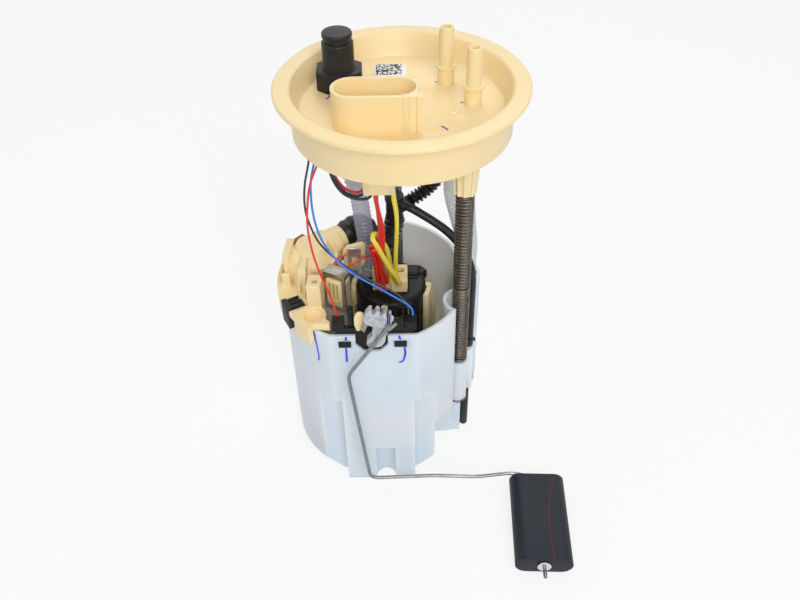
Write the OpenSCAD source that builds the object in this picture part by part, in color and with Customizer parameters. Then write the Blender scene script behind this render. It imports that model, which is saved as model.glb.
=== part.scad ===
// Fuel pump module: a tank flange over a reservoir pot, on two sprung guide rods.
// Frame: the flange axis is the Z axis and the rim seats on the tank at z = 0.

/* [Flange] */
// Outer diameter of the flange rim
rim_d = 130; // [124:1:160]
// Thickness of the rim
rim_t = 3; // [2:0.5:6]
// Outer diameter of the spigot under the rim
spigot_d = 114; // [108:1:118]
// Depth of the spigot below the rim seat
spigot_h = 21.5; // [17:0.5:30]
// Inside diameter of the bowl at its floor
bowl_d = 104.2; // [98:0.2:106]
// Depth of the bowl from the rim's top face
bowl_h = 12.3; // [8:0.1:14]
// Thickness of the flange walls and floor
flange_wall = 3; // [2:0.5:4]

/* [Connector] */
// Length of the oval shroud
shroud_l = 43; // [36:1:46]
// Width of the oval shroud
shroud_w = 21; // [15:0.5:22]
// Height of the shroud's mouth above the rim seat
shroud_top = 11; // [6:0.5:20]
// Wall of the shroud
shroud_wall = 1.8; // [1.2:0.1:2.5]

/* [Nipples] */
// Outer diameter of each hose nipple
nipple_d = 7.9; // [6:0.1:9.8]
// Bore through each nipple
nipple_bore = 4.5; // [3:0.1:5.5]
// Height of the nipples above the rim seat
nipple_top = 21.5; // [12:0.5:30]
// Collar diameter
collar_d = 10.5; // [10:0.1:13]

/* [Vent valve] */
// Tube diameter of the vent valve
vent_d = 16.4; // [12:0.2:19]
// Height of the valve above the rim seat
vent_top = 20.5; // [17:0.5:32]

/* [Guide rods] */
// Diameter of both guide rods
rod_d = 7; // [5:0.1:7.6]
// Radial running clearance of a rod in its sleeve
rod_gap = 0.05; // [0.02:0.01:0.1]
// Radial space between a rod and its coil spring
spring_gap = 0.6; // [0.3:0.1:1]
// Wire diameter of the coil springs
spring_wire = 1; // [0.6:0.1:1.2]
// How far the flange can be pushed down
travel = 35; // [20:1:37]
// Bottom of the rod sockets under the flange
socket_low = -47; // [-60:1:-40]

/* [Pot] */
// Depth of the pot's feet below the rim seat
module_h = 250; // [236:1:300]
// Height of the pot
pot_h = 128; // [118:1:154]
// Radius of the pot's round wall
pot_r = 54; // [52:1:66]
// Wall of the pot
pot_wall = 2; // [1.2:0.1:3]
// Flat front of the pot, measured from the flange axis
pot_front = 54; // [54:0.5:57]

/* [Pump] */
// Outer diameter of the pump's steel case
pump_d = 38; // [32:1:40]
// Wall of the steel case
case_wall = 1; // [0.6:0.1:1.5]
// Length of the steel case
case_l = 92; // [80:1:98]
// Diameter of the motor shaft
shaft_d = 3; // [2:0.5:4]

/* [Filter] */
// Outer diameter of the filter bowl
filter_d = 34; // [28:1:35]
// Length of the filter bowl
filter_l = 104; // [80:1:110]

/* [Level sender] */
// Diameter of the float arm's wire
wire_d = 2.2; // [1.6:0.1:2.6]
// Length of the float
float_l = 60; // [40:1:72]
// Width of the float
float_w = 34; // [26:1:40]
// Thickness of the float
float_t = 14; // [10:0.5:16]

/* [Hidden] */
$fn = 48;
e = 0.01;
gap = 0.3;          // between pieces of different bodies
fit = 0.1;          // between neighbours of one body

floor_top = rim_t - bowl_h;
floor_low = floor_top - flange_wall;
front_rod = [32, -25];
rear_rod = [-6, 35];
spring_d = rod_d + 2 * (spring_wire + spring_gap);
socket_low_d = spring_d + 1.4;
socket_top_d = socket_low_d + 5.4;
shroud_pos = [-12.7, -21];
// Plan of the plug under the connector, from the shroud's centre
plug_from = [-9.2, -8.9];
plug_to = [7.8, 5.9];
plug_lip = 1;
plug_wall = 1.7;
plug_step = floor_low - 17.6;
plug_low = floor_low - 32.7;
terminal_w = 3;
terminal_t = 0.8;
terminal_pitch = 7;
vent_pos = [-32.3, 19.5];
nipple_pos = [[23.3, 20.5], [36, -2.2]];
barb_low = floor_low - 16;
barb_d = 7;
barb_seat = 1;

pot_pos = [-18, -6];
pot_low = -module_h;
foot_h = 2;
foot_in = 7;
pot_floor = pot_low + foot_h + pot_wall;
rim_z = pot_low + pot_h;
rod_low = pot_floor + travel + 3.2;
sleeve_low = rod_low + 4.5;
sleeve_top = sleeve_low + 33;
sleeve_d = spring_d + 0.8;
rod_top = floor_low - 2;
clip_t = 1.2;
ledge_z = rim_z - 53;
notch_z = sleeve_low;
pocket_pos = [38.3, 21];
pocket_r = 7;
pocket_top = rim_z - 18;
pocket_low = pot_low + 14;
recess_r = sleeve_d / 2 + 3;
window_x = [-37.5, -6.5];
window_w = 7;
window_h = 4.5;
foot_hole = [-18, 27];
foot_hole_r = 4;
arch = [-14, -pot_front];
arch_r = 6;
arch_top = pot_low + 29.8;
back_rise = 5;
rear_reach = pot_pos[1] - rear_rod[1]
    + sqrt(pow(pot_r - pot_wall / 2, 2) - pow(rear_rod[0] - pot_pos[0] + 2, 2));

pump_pos = [-8.5, 4];
pump_r = pump_d / 2;
case_r = pump_r - case_wall;
case_low = pot_floor + 15;
case_top = case_low + case_l;
chamber_low = case_low + 3;
impeller_t = 4;
chamber_top = chamber_low + impeller_t + 0.6;
body_top = chamber_top + 4.5;
cap_low = case_top - 10;
cap_top = case_top + 4;
holder_r = pump_r + 2.4;
holder_low = case_top - 26;
holder_top = cap_top + 2.6;
outlet_pos = [pump_pos[0], pump_pos[1] + 9];
outlet_r = 4;
outlet_top = holder_top + 14;
outlet_bore = 3.2;
valve_z = cap_top + 2;
brush_z = cap_low - 9;
brush_end = case_r - 2.4;
magnet_low = body_top + 6;
magnet_h = brush_z - 6.9 - magnet_low;
magnet_r = case_r - 2.8;
arm_r = magnet_r - 0.6;
impeller_r = case_r - 5;
tee_at = [-5.5, 17, -92];

filter_pos = [-50, -2];
filter_r = filter_d / 2;
filter_wall = 1.6;
casing_z = rim_z;
bowl_top = casing_z;
bowl_low = bowl_top - filter_l;
elbow_from = [-54, 3, casing_z + 13];
elbow_to = [-37, 16, casing_z + 15.5];
dome_at = [elbow_from[0], elbow_from[1] - 3];
dome_top_r = 13;
dome_h = 15;
grommet_turn = 208;
grommet_w = 9.6;
reg_pos = [-38, 22];
reg_low = rim_z - 26;
reg_wall = 1.5;

pivot = [-14, rim_z + 9];
pin_r = 1.5;
bracket_y = pot_wall + fit - pot_front;
lever_back = -pot_front - 0.6;
arm_y = -pot_front - 8;
wire_r = wire_d / 2;
lever_face = arm_y + wire_r;
float_z = pot_low + float_t / 2 + 0.5;
// Corners of the float arm from the pivot, then those along the bottom from the pivot and the float's axis
arm_high = [[6, 7], [-19, -32]];
arm_low = [[-10, 2.5], [30, 4], [58, 2], [80, 5.5], [95, 0]];
arm_xz = concat([for (p = arm_high) pivot + p], [for (p = arm_low) [pivot[0] + p[0], float_z + p[1]]]);
arm_end = len(arm_xz) - 1;
float_turn = -2.5;
float_gap = 2;

bracket_at = [pot_pos[0] + pot_r + 3.45, -9];
bracket_top = rim_z - 56;
bracket_low = rim_z - 90;
tube_low = pot_low + 7;
tube_off = [-1, -4];
tube_r = 2.7;

// Diameters of the wires and hoses
loop_wire_d = 1.6;
sender_wire_d = 1.5;
power_wire_d = 2.4;
clip_wire_d = 1.2;
supply_d = 12;
branch_d = 8.6;
banded_d = 9;
drain_d = 5;
return_d = 13;
left_tube_d = 10.5;

// Wires and hoses, as points chosen by hand from end to end
thin_black_pts = [[-45, -27, -12.5], [-47, -28, -26], [-50, -29, -39], [-51, -30, -52], [-49, -31.5, -63],
    [-45, -33, -73], [-38, -34, -82], [-30, -35.5, -89], [-20, -37.5, -95], [-10, -39, -100.5],
    [-3, -40.5, -105], [1, -42.5, -109.5], [1.6, -45.5, -113.8]];
thin_blue_pts = [[-41, -29, -12.5], [-44, -30, -25], [-46.5, -31, -36], [-47, -32.5, -48], [-46, -34, -59],
    [-43.5, -35, -69], [-39, -36, -78], [-33, -37, -86], [-25, -38.5, -92.5], [-16, -40, -98],
    [-8, -41.5, -103], [0, -43.5, -107.5], [3.4, -45, -110.5], [4, -46.5, -113.8]];
thin_red_pts = [[-38, -31, -12.5], [-42, -32, -24], [-46.8, -33.5, -36], [-49, -34.5, -48],
    [-49.9, -36, -60], [-48.8, -38, -73], [-46, -40, -86], [-42.2, -42, -98], [-39.5, -44, -107],
    [-37.5, -46, -113.8]];
loop_black_pts = [[-38.6, -23, -12.5], [-38.6, -23, -24], [-37.6, -23, -33], [-35.6, -23, -41],
    [-32, -23, -47.6], [-27.5, -23, -51], [-22.4, -23, -52.3], [-18.6, -23.2, -51.6], [-16.6, -23.4, -49],
    [-16.2, -23.5, -45.2]];
loop_blue_pts = [[-38.6, -20.9, -12.5], [-38.6, -20.9, -24], [-37.6, -20.9, -33], [-35.4, -20.9, -41.2],
    [-31.8, -20.9, -47.8], [-27.5, -20.9, -51], [-23.4, -20.9, -51.6], [-20.4, -20.9, -49.4],
    [-19.6, -20.9, -45.2]];
loop_red_pts = [[-38.6, -18.8, -12.5], [-38.6, -18.8, -24], [-37.4, -18.8, -33], [-35, -18.8, -41.2],
    [-31.2, -18.8, -47.6], [-27, -18.8, -50.4], [-23.4, -18.8, -50.6], [-20.8, -18.8, -48.6],
    [-20, -18.8, -45.2]];
thick_red_pts = [[-14.5, -20, -45.2], [-14.5, -19, -56], [-13.5, -17.5, -66], [-12.5, -16, -77],
    [-12.8, -13.5, -90], [-13.4, -10.5, -104], [-12.8, -7.5, -114], [-11.8, -4.5, -122],
    [-11.8, -3, -127.2]];
red_loop_pts = [[-14.7, -5.4, -127.2], [-15.2, -8.8, -123], [-16.2, -12.5, -114], [-17.5, -14.5, -103],
    [-18.6, -15, -93], [-18.9, -12.8, -88.3], [-18, -9.6, -90], [-17.2, -6.8, -98], [-16.2, -3.4, -110],
    [-15, -1.2, -121], [-14.7, -1, -127.2]];
thick_yellow_pts = [[-5.8, -20, -45.2], [-5, -19, -56], [-4, -17.5, -66], [-4, -15.5, -77],
    [-4.6, -12.5, -90], [-5.2, -9.5, -103], [-5.5, -5, -118], [-5.6, -3, -127.2]];
yellow_loop_pts = [[-3.4, -5.2, -127.2], [-4.4, -9, -119], [-8, -13.5, -108], [-11.5, -17, -97],
    [-15.8, -20, -84.5], [-17.6, -18.8, -80.6], [-16.6, -15.6, -80], [-14.2, -9.5, -88], [-10.2, -6.5, -99],
    [-8.6, -3.4, -114], [-8.4, -2.4, -127.2]];
clip_wire_pts = [[-12.4, 0.2, -127.2], [-13, 0.4, -121], [-14.4, 0.2, -113], [-19.4, -1.6, -107.5],
    [-26, -5.5, -107], [-33, -8.5, -110], [-38, -9, -109.5], [-40, -7, -107.5], [-38.5, -4.6, -106],
    [-33.2, -2.7, -105.5]];
supply_pts = [[-8.5, 13, -115.3], [-8.5, 13, -111], [-7.8, 14.2, -105], [-6.4, 16.2, -99.5],
    [-5.5, 17, -95.5], [-5.5, 17, -92.1]];
branch_pts = [[2.2, 18.4, -83.6], [5.8, 19, -81.7], [10, 19.6, -79], [14.5, 20, -75], [18.5, 20.3, -70],
    [21.5, 20.5, -63], [23, 20.5, -55], [23.3, 20.5, -47], [23.3, 20.5, -38], [23.3, 20.5, -28.4]];
return_pts = [[36, -2.2, -28.4], [36, -2.2, -33], [34.8, -1.8, -40], [32.4, -0.4, -49], [31, 1.8, -59],
    [31.4, 4.6, -70], [33.4, 7.6, -84], [35.4, 11, -97], [37.2, 15.4, -108], [38.2, 19.4, -118],
    [38.3, 20.8, -128], [38.3, 21, -140], [38.3, 21, -152], [38.3, 21, -166], [38.3, 21, -178],
    [38.3, 21, -190]];
left_tube_pts = [[-32.3, 19.5, -18.4], [-32.3, 19.4, -32], [-32, 18.5, -46], [-30.5, 16.5, -58],
    [-27.5, 13.8, -68], [-25.4, 12, -76], [-24.5, 10.8, -84], [-23.6, 10, -94], [-22.6, 10, -106],
    [-22, 11.4, -116], [-22, 13, -125], [-22, 13, -132.3]];
banded_pts = [[-36.6, 16.4, -106.3], [-32.6, 19, -105.6], [-28, 21.6, -107], [-23.5, 23.5, -110],
    [-19, 23.3, -115], [-18.3, 22.8, -120.5], [-16.4, 20.9, -124.6], [-13.7, 18.2, -125.4]];
drain_pts = [[0.2, 12.2, -81.6], [2.5, 10.3, -81.6], [5.4, 9.2, -82.6], [9.5, 8.4, -85], [16, 6.4, -88.6],
    [23, 4, -93], [29.5, 1, -98.6], [35, -3.2, -105.4], [38.4, -7, -113], [39.4, -8.8, -121],
    [39.45, -9, -130], [39.45, -9, -140], [39.45, -9, -150], [39.45, -9, -160], [39.45, -9, -172.3]];

// One smooth tube along hand-chosen points: a ring of sides at every point
function along(p, i) = let (a = p[max(i - 1, 0)], b = p[min(i + 1, len(p) - 1)]) (b - a) / norm(b - a);
function side_of(t) = let (s = abs(t[2]) > 0.9 ? [0, 1, 0] : [0, 0, 1], c = cross(t, s)) c / norm(c);
function carried(v, t) = let (w = v - (v * t) * t) w / norm(w);
function sides_from(p, i, v) = i >= len(p) ? [] :
    let (w = carried(v, along(p, i))) concat([w], sides_from(p, i + 1, w));

module tube_along(p, d, sides = 8) {
    t = [for (i = [0:len(p) - 1]) along(p, i)];
    u = sides_from(p, 0, side_of(t[0]));
    ring = [for (i = [0:len(p) - 1], k = [0:sides - 1])
        let (a = 360 * k / sides) p[i] + d / 2 * (cos(a) * u[i] + sin(a) * cross(t[i], u[i]))];
    last = (len(p) - 1) * sides;
    faces = concat(
        [[for (k = [0:sides - 1]) k]],
        [for (i = [0:len(p) - 2], k = [0:sides - 1]) let (n = (k + 1) % sides, b = i * sides)
            [b + k, b + sides + k, b + sides + n]],
        [for (i = [0:len(p) - 2], k = [0:sides - 1]) let (n = (k + 1) % sides, b = i * sides)
            [b + k, b + sides + n, b + n]],
        [[for (k = [0:sides - 1]) last + sides - 1 - k]]);
    polyhedron(ring, faces, convexity = 10);
}

// A helix wound round +Z whose pitch opens and closes along its length
function coil_z(q, mid) = q - mid * sin(720 * q) / 12.566;

module coil(d, wire, h, turns, mid = 0.55, steps = 8) {
    n = turns * steps;
    r = (d - wire) / 2;
    tube_along([for (i = [0:n]) let (a = 360 * i / steps, q = i / n)
        [r * cos(a), r * sin(a), wire / 2 + (h - wire) * coil_z(q, mid)]], wire, 4);
}

module at(p, z = 0) {
    translate([p[0], p[1], z]) children();
}

module tube(r_out, r_in, h) {
    difference() {
        cylinder(r = r_out, h = h);
        translate([0, 0, -1]) cylinder(r = r_in, h = h + 2);
    }
}

module block(low, high) {
    translate(low) cube(high - low);
}

// Flange and what is fixed to it

module rod_socket(p) {
    at(p, socket_low) cylinder(d1 = socket_low_d, d2 = socket_top_d, h = floor_low - socket_low + e,
        $fn = 64);
}

module shroud_outline(w) {
    r = shroud_w / 2 - w;
    c = shroud_l / 2 - shroud_w / 2;
    translate([-c, 0]) circle(r, $fn = 64);
    translate([c, 0]) circle(r, $fn = 64);
    square([2 * c, 2 * r], center = true);
}

module flange() {
    rim_r = rim_d / 2;
    spigot_r = spigot_d / 2;
    lip = spigot_r - flange_wall + 1;
    soft = min(0.8, rim_t / 3);
    color("#f1d9a0") difference() {
        union() {
            rotate_extrude($fn = 96) polygon([
                [0, floor_low], [lip, floor_low], [lip, -spigot_h], [spigot_r, -spigot_h], [spigot_r, 0],
                [rim_r - soft, 0], [rim_r, soft], [rim_r, rim_t - soft], [rim_r - soft, rim_t],
                [lip + 2, rim_t], [lip + 1, rim_t - soft], [bowl_d / 2, floor_top], [0, floor_top]]);
            rod_socket(front_rod);
            rod_socket(rear_rod);
            at(shroud_pos, floor_top - e) {
                linear_extrude(shroud_top - floor_top + e) shroud_outline(0);
                block([shroud_l / 2 - 5.5, -shroud_w / 2, 0],
                    [shroud_l / 2 + 1, -shroud_w / 2 + 5, shroud_top - floor_top]);
            }
            at(shroud_pos) block([each plug_from - [2, plug_wall], plug_step + fit],
                [each plug_to + [1.8, plug_wall], floor_low + e]);
            translate([8.9, 10.8, floor_top - e]) rotate([0, 0, 22]) block([0, -0.7, 0], [5.2, 0.7, 0.8]);
            at([0, 0], floor_top - e) linear_extrude(0.8)
                polygon([[23.8, -13.3], [26.2, -14.4], [28.9, -10.6], [29.7, -6.6], [27, -8.5]]);
        }
        at(shroud_pos, floor_top + 3) linear_extrude(60) shroud_outline(shroud_wall);
        at(shroud_pos, floor_top) block([shroud_l / 2 - 2.6, -shroud_w / 2 - 1, 0],
            [shroud_l / 2 - 1.8, -shroud_w / 2 + 0.6, 40]);
        for (p = [front_rod, rear_rod]) at(p, socket_low - 1)
            cylinder(d = rod_d, h = rod_top - socket_low + 1, $fn = 64);
        for (p = nipple_pos) at(p, floor_low - 1) cylinder(d = nipple_d - 1.4, h = 20);
        for (i = [0:4]) at(terminal_at(i), floor_low - 40) cube([terminal_w, terminal_t, 100], center = true);
        at(vent_pos, floor_low - 1) cylinder(r = 5, h = 20);
        at(shroud_pos) block([each plug_from - [fit, fit], plug_step - 1],
            [each plug_to + [fit, fit], floor_low - 4]);
    }
}

module nipple(p, top) {
    r = nipple_d / 2;
    low = floor_low - barb_seat;
    c = floor_top + 9;
    color("#f1d9a0") at(p) rotate_extrude() polygon([
        [nipple_bore / 2, low], [r - 0.7, low], [r - 0.7, floor_top], [r + 1.5, floor_top],
        [r + 1.1, floor_top + 1.2], [r + 0.5, floor_top + 1.8], [r + 0.5, c - 0.5], [collar_d / 2, c],
        [collar_d / 2, c + 1.5], [r, c + 1.5], [r, top - 3], [r - 0.6, top], [nipple_bore / 2, top]]);
}

module supply_nipple() { nipple(nipple_pos[0], nipple_top + 0.2); }
module return_nipple() { nipple(nipple_pos[1], nipple_top - 0.5); }

module flange_barbs() {
    color("#2a2a2b") for (p = nipple_pos) difference() {
        at(p, barb_low) union() {
            cylinder(d = barb_d, h = floor_low - barb_low - barb_seat);
            for (k = [1:3]) translate([0, 0, 3 * k]) cylinder(d1 = barb_d, d2 = barb_d + 1.4, h = 1.5);
        }
        at(p, barb_low - 1) cylinder(d = nipple_bore, h = 60);
    }
}

module vent_valve() {
    neck = vent_top - 5.5;
    color("#232324") difference() {
        union() {
            at(vent_pos, floor_top) linear_extrude(1 - floor_top) polygon([
                [-11.7, -5.5], [-6, -10], [6, -10], [11.7, -5.5], [11.7, 5.5], [6, 10], [-6, 10],
                [-11.7, 5.5]]);
            at(vent_pos, 1) cylinder(d = vent_d + 1.2, h = 1.2);
            at(vent_pos, 1) cylinder(d = vent_d, h = neck - 1);
            at(vent_pos, neck) cylinder(d1 = vent_d, d2 = vent_d - 1.6, h = 0.8);
            at(vent_pos, neck) cylinder(d = vent_d - 3.4, h = vent_top - 2.5 - neck);
            at(vent_pos, floor_low - 6) cylinder(r = 4.9, h = floor_top - floor_low + 6 + e);
        }
        at(vent_pos, floor_low - 7) cylinder(r = 3.6, h = vent_top - floor_low);
    }
}

module vent_cap() {
    color("#1f1f20") at(vent_pos, vent_top - 2.5) {
        cylinder(d = vent_d - 0.8, h = 1.9);
        translate([0, 0, 1.9]) cylinder(d1 = vent_d - 0.8, d2 = vent_d - 1.8, h = 0.6);
    }
}

function terminal_at(i) = [shroud_pos[0] + terminal_pitch * (i - 2), shroud_pos[1]];

module terminals() {
    color("#c9a35a") for (i = [0:4]) at(terminal_at(i), floor_low - 9)
        translate([-terminal_w / 2 + fit, -terminal_t / 2 + fit, 0])
            cube([terminal_w - 2 * fit, terminal_t - 2 * fit, floor_top - floor_low + 18]);
}

module harness_plug() {
    lip = [plug_lip, plug_lip];
    color("#f2dfb0") at(shroud_pos) difference() {
        union() {
            block([each plug_from, plug_step - e], [each plug_to, floor_low - 9.5]);
            block([each plug_from - lip, plug_low], [each plug_to + lip, plug_step]);
        }
        for (i = [-1:1]) translate([5.4 * i - 0.7, plug_from[1] - plug_lip - e, plug_low - e])
            cube([1.6, 1.2, 12]);
    }
}

module guide_rods() {
    color("#a9adb2") for (p = [front_rod, rear_rod]) at(p, rod_low) {
        difference() {
            cylinder(d = rod_d, h = rod_top - rod_low, $fn = 64);
            translate([0, 0, sleeve_low - rod_low - clip_t - 0.1 - e])
                tube(rod_d, rod_d / 2 - 0.8, clip_t + 0.1);
        }
    }
}

module rod_clips() {
    color("#55585c") for (p = [front_rod, rear_rod]) at(p, sleeve_low - clip_t - 0.05) difference() {
        tube(rod_d / 2 + 2.2, rod_d / 2 - 0.75, clip_t - 0.05);
        translate([-rod_d / 4, -rod_d, -1]) cube([rod_d / 2, rod_d, 4]);
    }
}

module guide_spring(p) {
    h = socket_low - sleeve_top;
    color("#6f675c") at(p, sleeve_top) coil(spring_d, spring_wire, h, 44);
}

module front_spring() { guide_spring(front_rod); }
module rear_spring() { guide_spring(rear_rod); }

// Pot and what stands in it

module pot_plan(w, panels, notch, pocket) {
    difference() {
        union() {
            intersection() {
                translate(pot_pos) circle(pot_r - w, $fn = 128);
                translate([-200, -pot_front + w]) square([400, 400]);
            }
            if (pocket) translate(pocket_pos) circle(pocket_r + pot_wall, $fn = 64);
        }
        translate(front_rod) circle(recess_r + w, $fn = 64);
        if (panels) {
            translate([-51 - w, -200]) square([12.5 + 2 * w, 200 - pot_front + 7 + w]);
            translate([4.5 - w, -200]) square([60, 200 - pot_front + 7 + w]);
        }
        if (notch) translate([17 - w, -200]) square([60, 182 + w]);
    }
}

// The lowest part of the pot, tapered all round behind its upright front column
module pot_foot(w) {
    low = pot_low + foot_h + w;
    intersection() {
        at([0, 0], low) children();
        union() {
            at(pot_pos, low) cylinder(r1 = pot_r - foot_in - w, r2 = pot_r - w, h = pocket_low - low,
                $fn = 128);
            at([-38.5 + w, -pot_front], low) cube([43 - 2 * w, 20, pocket_low - low]);
            at([17 - w, -40], low) cube([40, 50, pocket_low - low]);
        }
    }
}

// The back wall rises a little above the rim, and slopes down to it on both sides
module back_wall() {
    intersection() {
        at(pot_pos, rim_z - e) tube(pot_r, pot_r - pot_wall, back_rise + e, $fn = 128);
        rotate([90, 0, 90]) linear_extrude(200, center = true)
            polygon([[8, rim_z - e], [20, rim_z + back_rise], [90, rim_z + back_rise], [90, rim_z - 1]]);
        rotate([90, 0, 0]) linear_extrude(200, center = true)
            polygon([[-16, rim_z - e], [-4, rim_z + back_rise], [90, rim_z + back_rise], [90, rim_z - 1]]);
    }
}

module pot() {
    foot_d = 6;
    color("#e9eff6") difference() {
        union() {
            back_wall();
            at([0, 0], pocket_top) linear_extrude(rim_z - pocket_top) pot_plan(0, false, false, false);
            at([0, 0], ledge_z) linear_extrude(pocket_top - ledge_z) pot_plan(0, false, false, true);
            at([0, 0], notch_z) linear_extrude(ledge_z - notch_z) pot_plan(0, true, false, true);
            at([0, 0], pocket_low) linear_extrude(notch_z - pocket_low) pot_plan(0, true, true, true);
            pot_foot(0) linear_extrude(pocket_low - pot_low - foot_h) pot_plan(0, true, true, false);
            at([-38.5, -pot_front], pot_low) cube([17.5, foot_d, foot_h + 1]);
            at([-7, -pot_front], pot_low) cube([11.4, foot_d, foot_h + 1]);
            at([-46, 18], pot_low) cube([12, 8, foot_h + 1]);
            at([2, 20], pot_low) cube([9, 8, foot_h + 1]);
        }
        difference() {
            union() {
                at([0, 0], ledge_z + pot_wall) linear_extrude(rim_z - ledge_z - pot_wall + e)
                    pot_plan(pot_wall, false, false, false);
                at([0, 0], notch_z + pot_wall) linear_extrude(ledge_z - notch_z + e)
                    pot_plan(pot_wall, true, false, false);
                at([0, 0], pocket_low - e) linear_extrude(notch_z - pocket_low + pot_wall + 2 * e)
                    pot_plan(pot_wall, true, true, false);
                pot_foot(pot_wall) linear_extrude(pocket_low - pot_floor)
                    pot_plan(pot_wall, true, true, false);
            }
            at(arch, pot_low) cylinder(r = arch_r + pot_wall, h = arch_top + pot_wall - pot_low);
            at(pocket_pos, pot_low) cylinder(r = pocket_r + pot_wall, h = pot_h);
        }
        at(pocket_pos, pocket_low + pot_wall) cylinder(r = pocket_r, h = 200, $fn = 64);
        at(arch, pot_low - 1) cylinder(r = arch_r, h = arch_top - pot_low + 1, $fn = 64);
        translate([-19, -pot_front + pot_wall + 1, rim_z]) rotate([90, 0, 0]) linear_extrude(8)
            polygon([[-9, 1], [-9, -7], [-4.5, -12], [4.5, -12], [9, -7], [9, 1]]);
        for (x = window_x) translate([x, -pot_front - 2, rim_z - 8.5])
            cube([window_w, pot_wall + 4, window_h]);
        at(foot_hole, pot_low - 1) cylinder(r = foot_hole_r, h = 20);
    }
    color("#e9eff6") difference() {
        union() {
            at(front_rod, sleeve_low) cylinder(d = sleeve_d, h = sleeve_top - sleeve_low);
            translate([18.5, -28, sleeve_low]) cube([10, 6, sleeve_top - sleeve_low]);
            at(rear_rod, sleeve_low) cylinder(d = sleeve_d, h = sleeve_top - sleeve_low);
            translate([rear_rod[0] - 2, rear_rod[1] + 4, sleeve_low])
                cube([4, rear_reach - 3.5, sleeve_top - sleeve_low]);
        }
        for (p = [front_rod, rear_rod]) at(p, sleeve_low - 1)
            cylinder(r = rod_d / 2 + rod_gap, h = 80, $fn = 64);
        at(pump_pos, pot_low) cylinder(r = holder_r + 1, h = 300);
    }
}

module foot_valve() {
    color("#3a3432") at(foot_hole, pot_floor) {
        cylinder(r = foot_hole_r + 1.6, h = 1.2);
        translate([0, 0, -3]) cylinder(r = foot_hole_r - 1, h = 3 + e);
    }
}

module strainer() {
    color("#e5ddc8") at(pump_pos, pot_floor) {
        cylinder(r = 17, h = 4.5);
        translate([0, 0, 4.5]) tube(6, 4, case_low - pot_floor - 4.5);
    }
}

module jet_pump() {
    color("#efdcae") {
        translate([-39, -34, pot_floor + 5]) rotate([0, 90, 0]) difference() {
            union() {
                cylinder(r = 4, h = 12);
                translate([0, 0, 12]) cylinder(r1 = 4, r2 = 2.8, h = 6);
                translate([0, 0, 18]) cylinder(r = 2.8, h = 18);
            }
            translate([0, 0, -1]) cylinder(r = 1.5, h = 40);
        }
        block([-36, -36, pot_floor], [-31, -32, pot_floor + 2]);
        block([-10, -36, pot_floor], [-6, -32, pot_floor + 2.6]);
    }
}

module pump_holder() {
    color("#222325") {
        difference() {
            union() {
                at(pump_pos, holder_low) cylinder(r = holder_r, h = holder_top - holder_low, $fn = 96);
                for (a = [75, 195, 315]) at(pump_pos, pot_floor) rotate([0, 0, a])
                    translate([pump_r + fit + 0.2, -3, 0]) cube([2, 6, holder_low - pot_floor + 1]);
            }
            at(pump_pos, holder_low - 1) cylinder(r = pump_r + fit, h = cap_top - holder_low + 1 + fit,
                $fn = 96);
            at(outlet_pos, 0) translate([0, 0, cap_top - 1]) cylinder(r = outlet_r + 2.6, h = 20);
            at(pump_pos, cap_top - 1) block([-11.2, -11.2, 0], [10.2, 1, 20]);
        }
    }
}

module pump_case() {
    color("#b9bcc0") at(pump_pos, case_low) tube(pump_r, case_r, case_l, $fn = 96);
}

module pump_inlet() {
    color("#8f9398") at(pump_pos, 0) difference() {
        translate([0, 0, case_low]) cylinder(r = case_r, h = chamber_low - case_low);
        translate([0, 0, case_low - 1]) cylinder(r = 4, h = 10);
    }
}

module pump_chamber() {
    color("#a5a8ac") at(pump_pos, chamber_low) tube(case_r, impeller_r + 0.4, chamber_top - chamber_low);
}

module pump_body() {
    color("#8f9398") at(pump_pos, chamber_top) difference() {
        cylinder(r = case_r, h = body_top - chamber_top);
        translate([0, 0, -1]) cylinder(r = shaft_d / 2 + rod_gap, h = 20);
        translate([9, 0, -1]) cylinder(r = 2, h = 20);
    }
}

module outlet_cover() {
    color("#2b2c2e") difference() {
        union() {
            at(pump_pos, cap_low) cylinder(r = case_r, h = cap_top - cap_low);
            at(outlet_pos, cap_top - e) cylinder(r = outlet_r, h = outlet_top - cap_top);
            at(outlet_pos, cap_top + 9.5) rotate([0, 0, 135]) rotate([0, 90, 0]) cylinder(r = 2.6, h = 6.4);
            for (s = [0, 180]) at(pump_pos, brush_z - 1) rotate([0, 0, s])
                block([11, -4, 0], [case_r - 1.2, 4, cap_low - brush_z + 1 + e]);
        }
        at(pump_pos, cap_low - 1) cylinder(r = shaft_d / 2 + rod_gap, h = 9);
        at(outlet_pos, cap_low - 1) cylinder(r = 1.6, h = 60);
        at(outlet_pos, cap_top - 2) cylinder(r = outlet_bore, h = 60);
        for (s = [0, 180]) at(pump_pos, brush_z) rotate([0, 0, s])
            block([5, -2.1, -0.1], [brush_end, 2.1, 5.1]);
    }
}

module magnets() {
    color("#4b4b4d") at(pump_pos, magnet_low) intersection() {
        tube(case_r, magnet_r, magnet_h);
        for (s = [0, 180]) rotate([0, 0, s]) translate([0, -11, 0]) cube([40, 22, magnet_h]);
    }
}

module armature() {
    color("#9a5c34") at(pump_pos, magnet_low + 1) difference() {
        cylinder(r = arm_r, h = magnet_h - 4);
        translate([0, 0, -1]) cylinder(d = shaft_d, h = 100);
        for (a = [0:60:300]) rotate([0, 0, a]) translate([arm_r - 3.5, -0.8, -1]) cube([6, 1.6, 100]);
    }
}

module commutator() {
    color("#b87443") at(pump_pos, brush_z - 2) tube(6, shaft_d / 2, 9);
}

module motor_shaft() {
    color("#c8cacd") at(pump_pos, chamber_low + 0.3) cylinder(d = shaft_d, h = cap_low + 7 - chamber_low);
}

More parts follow.
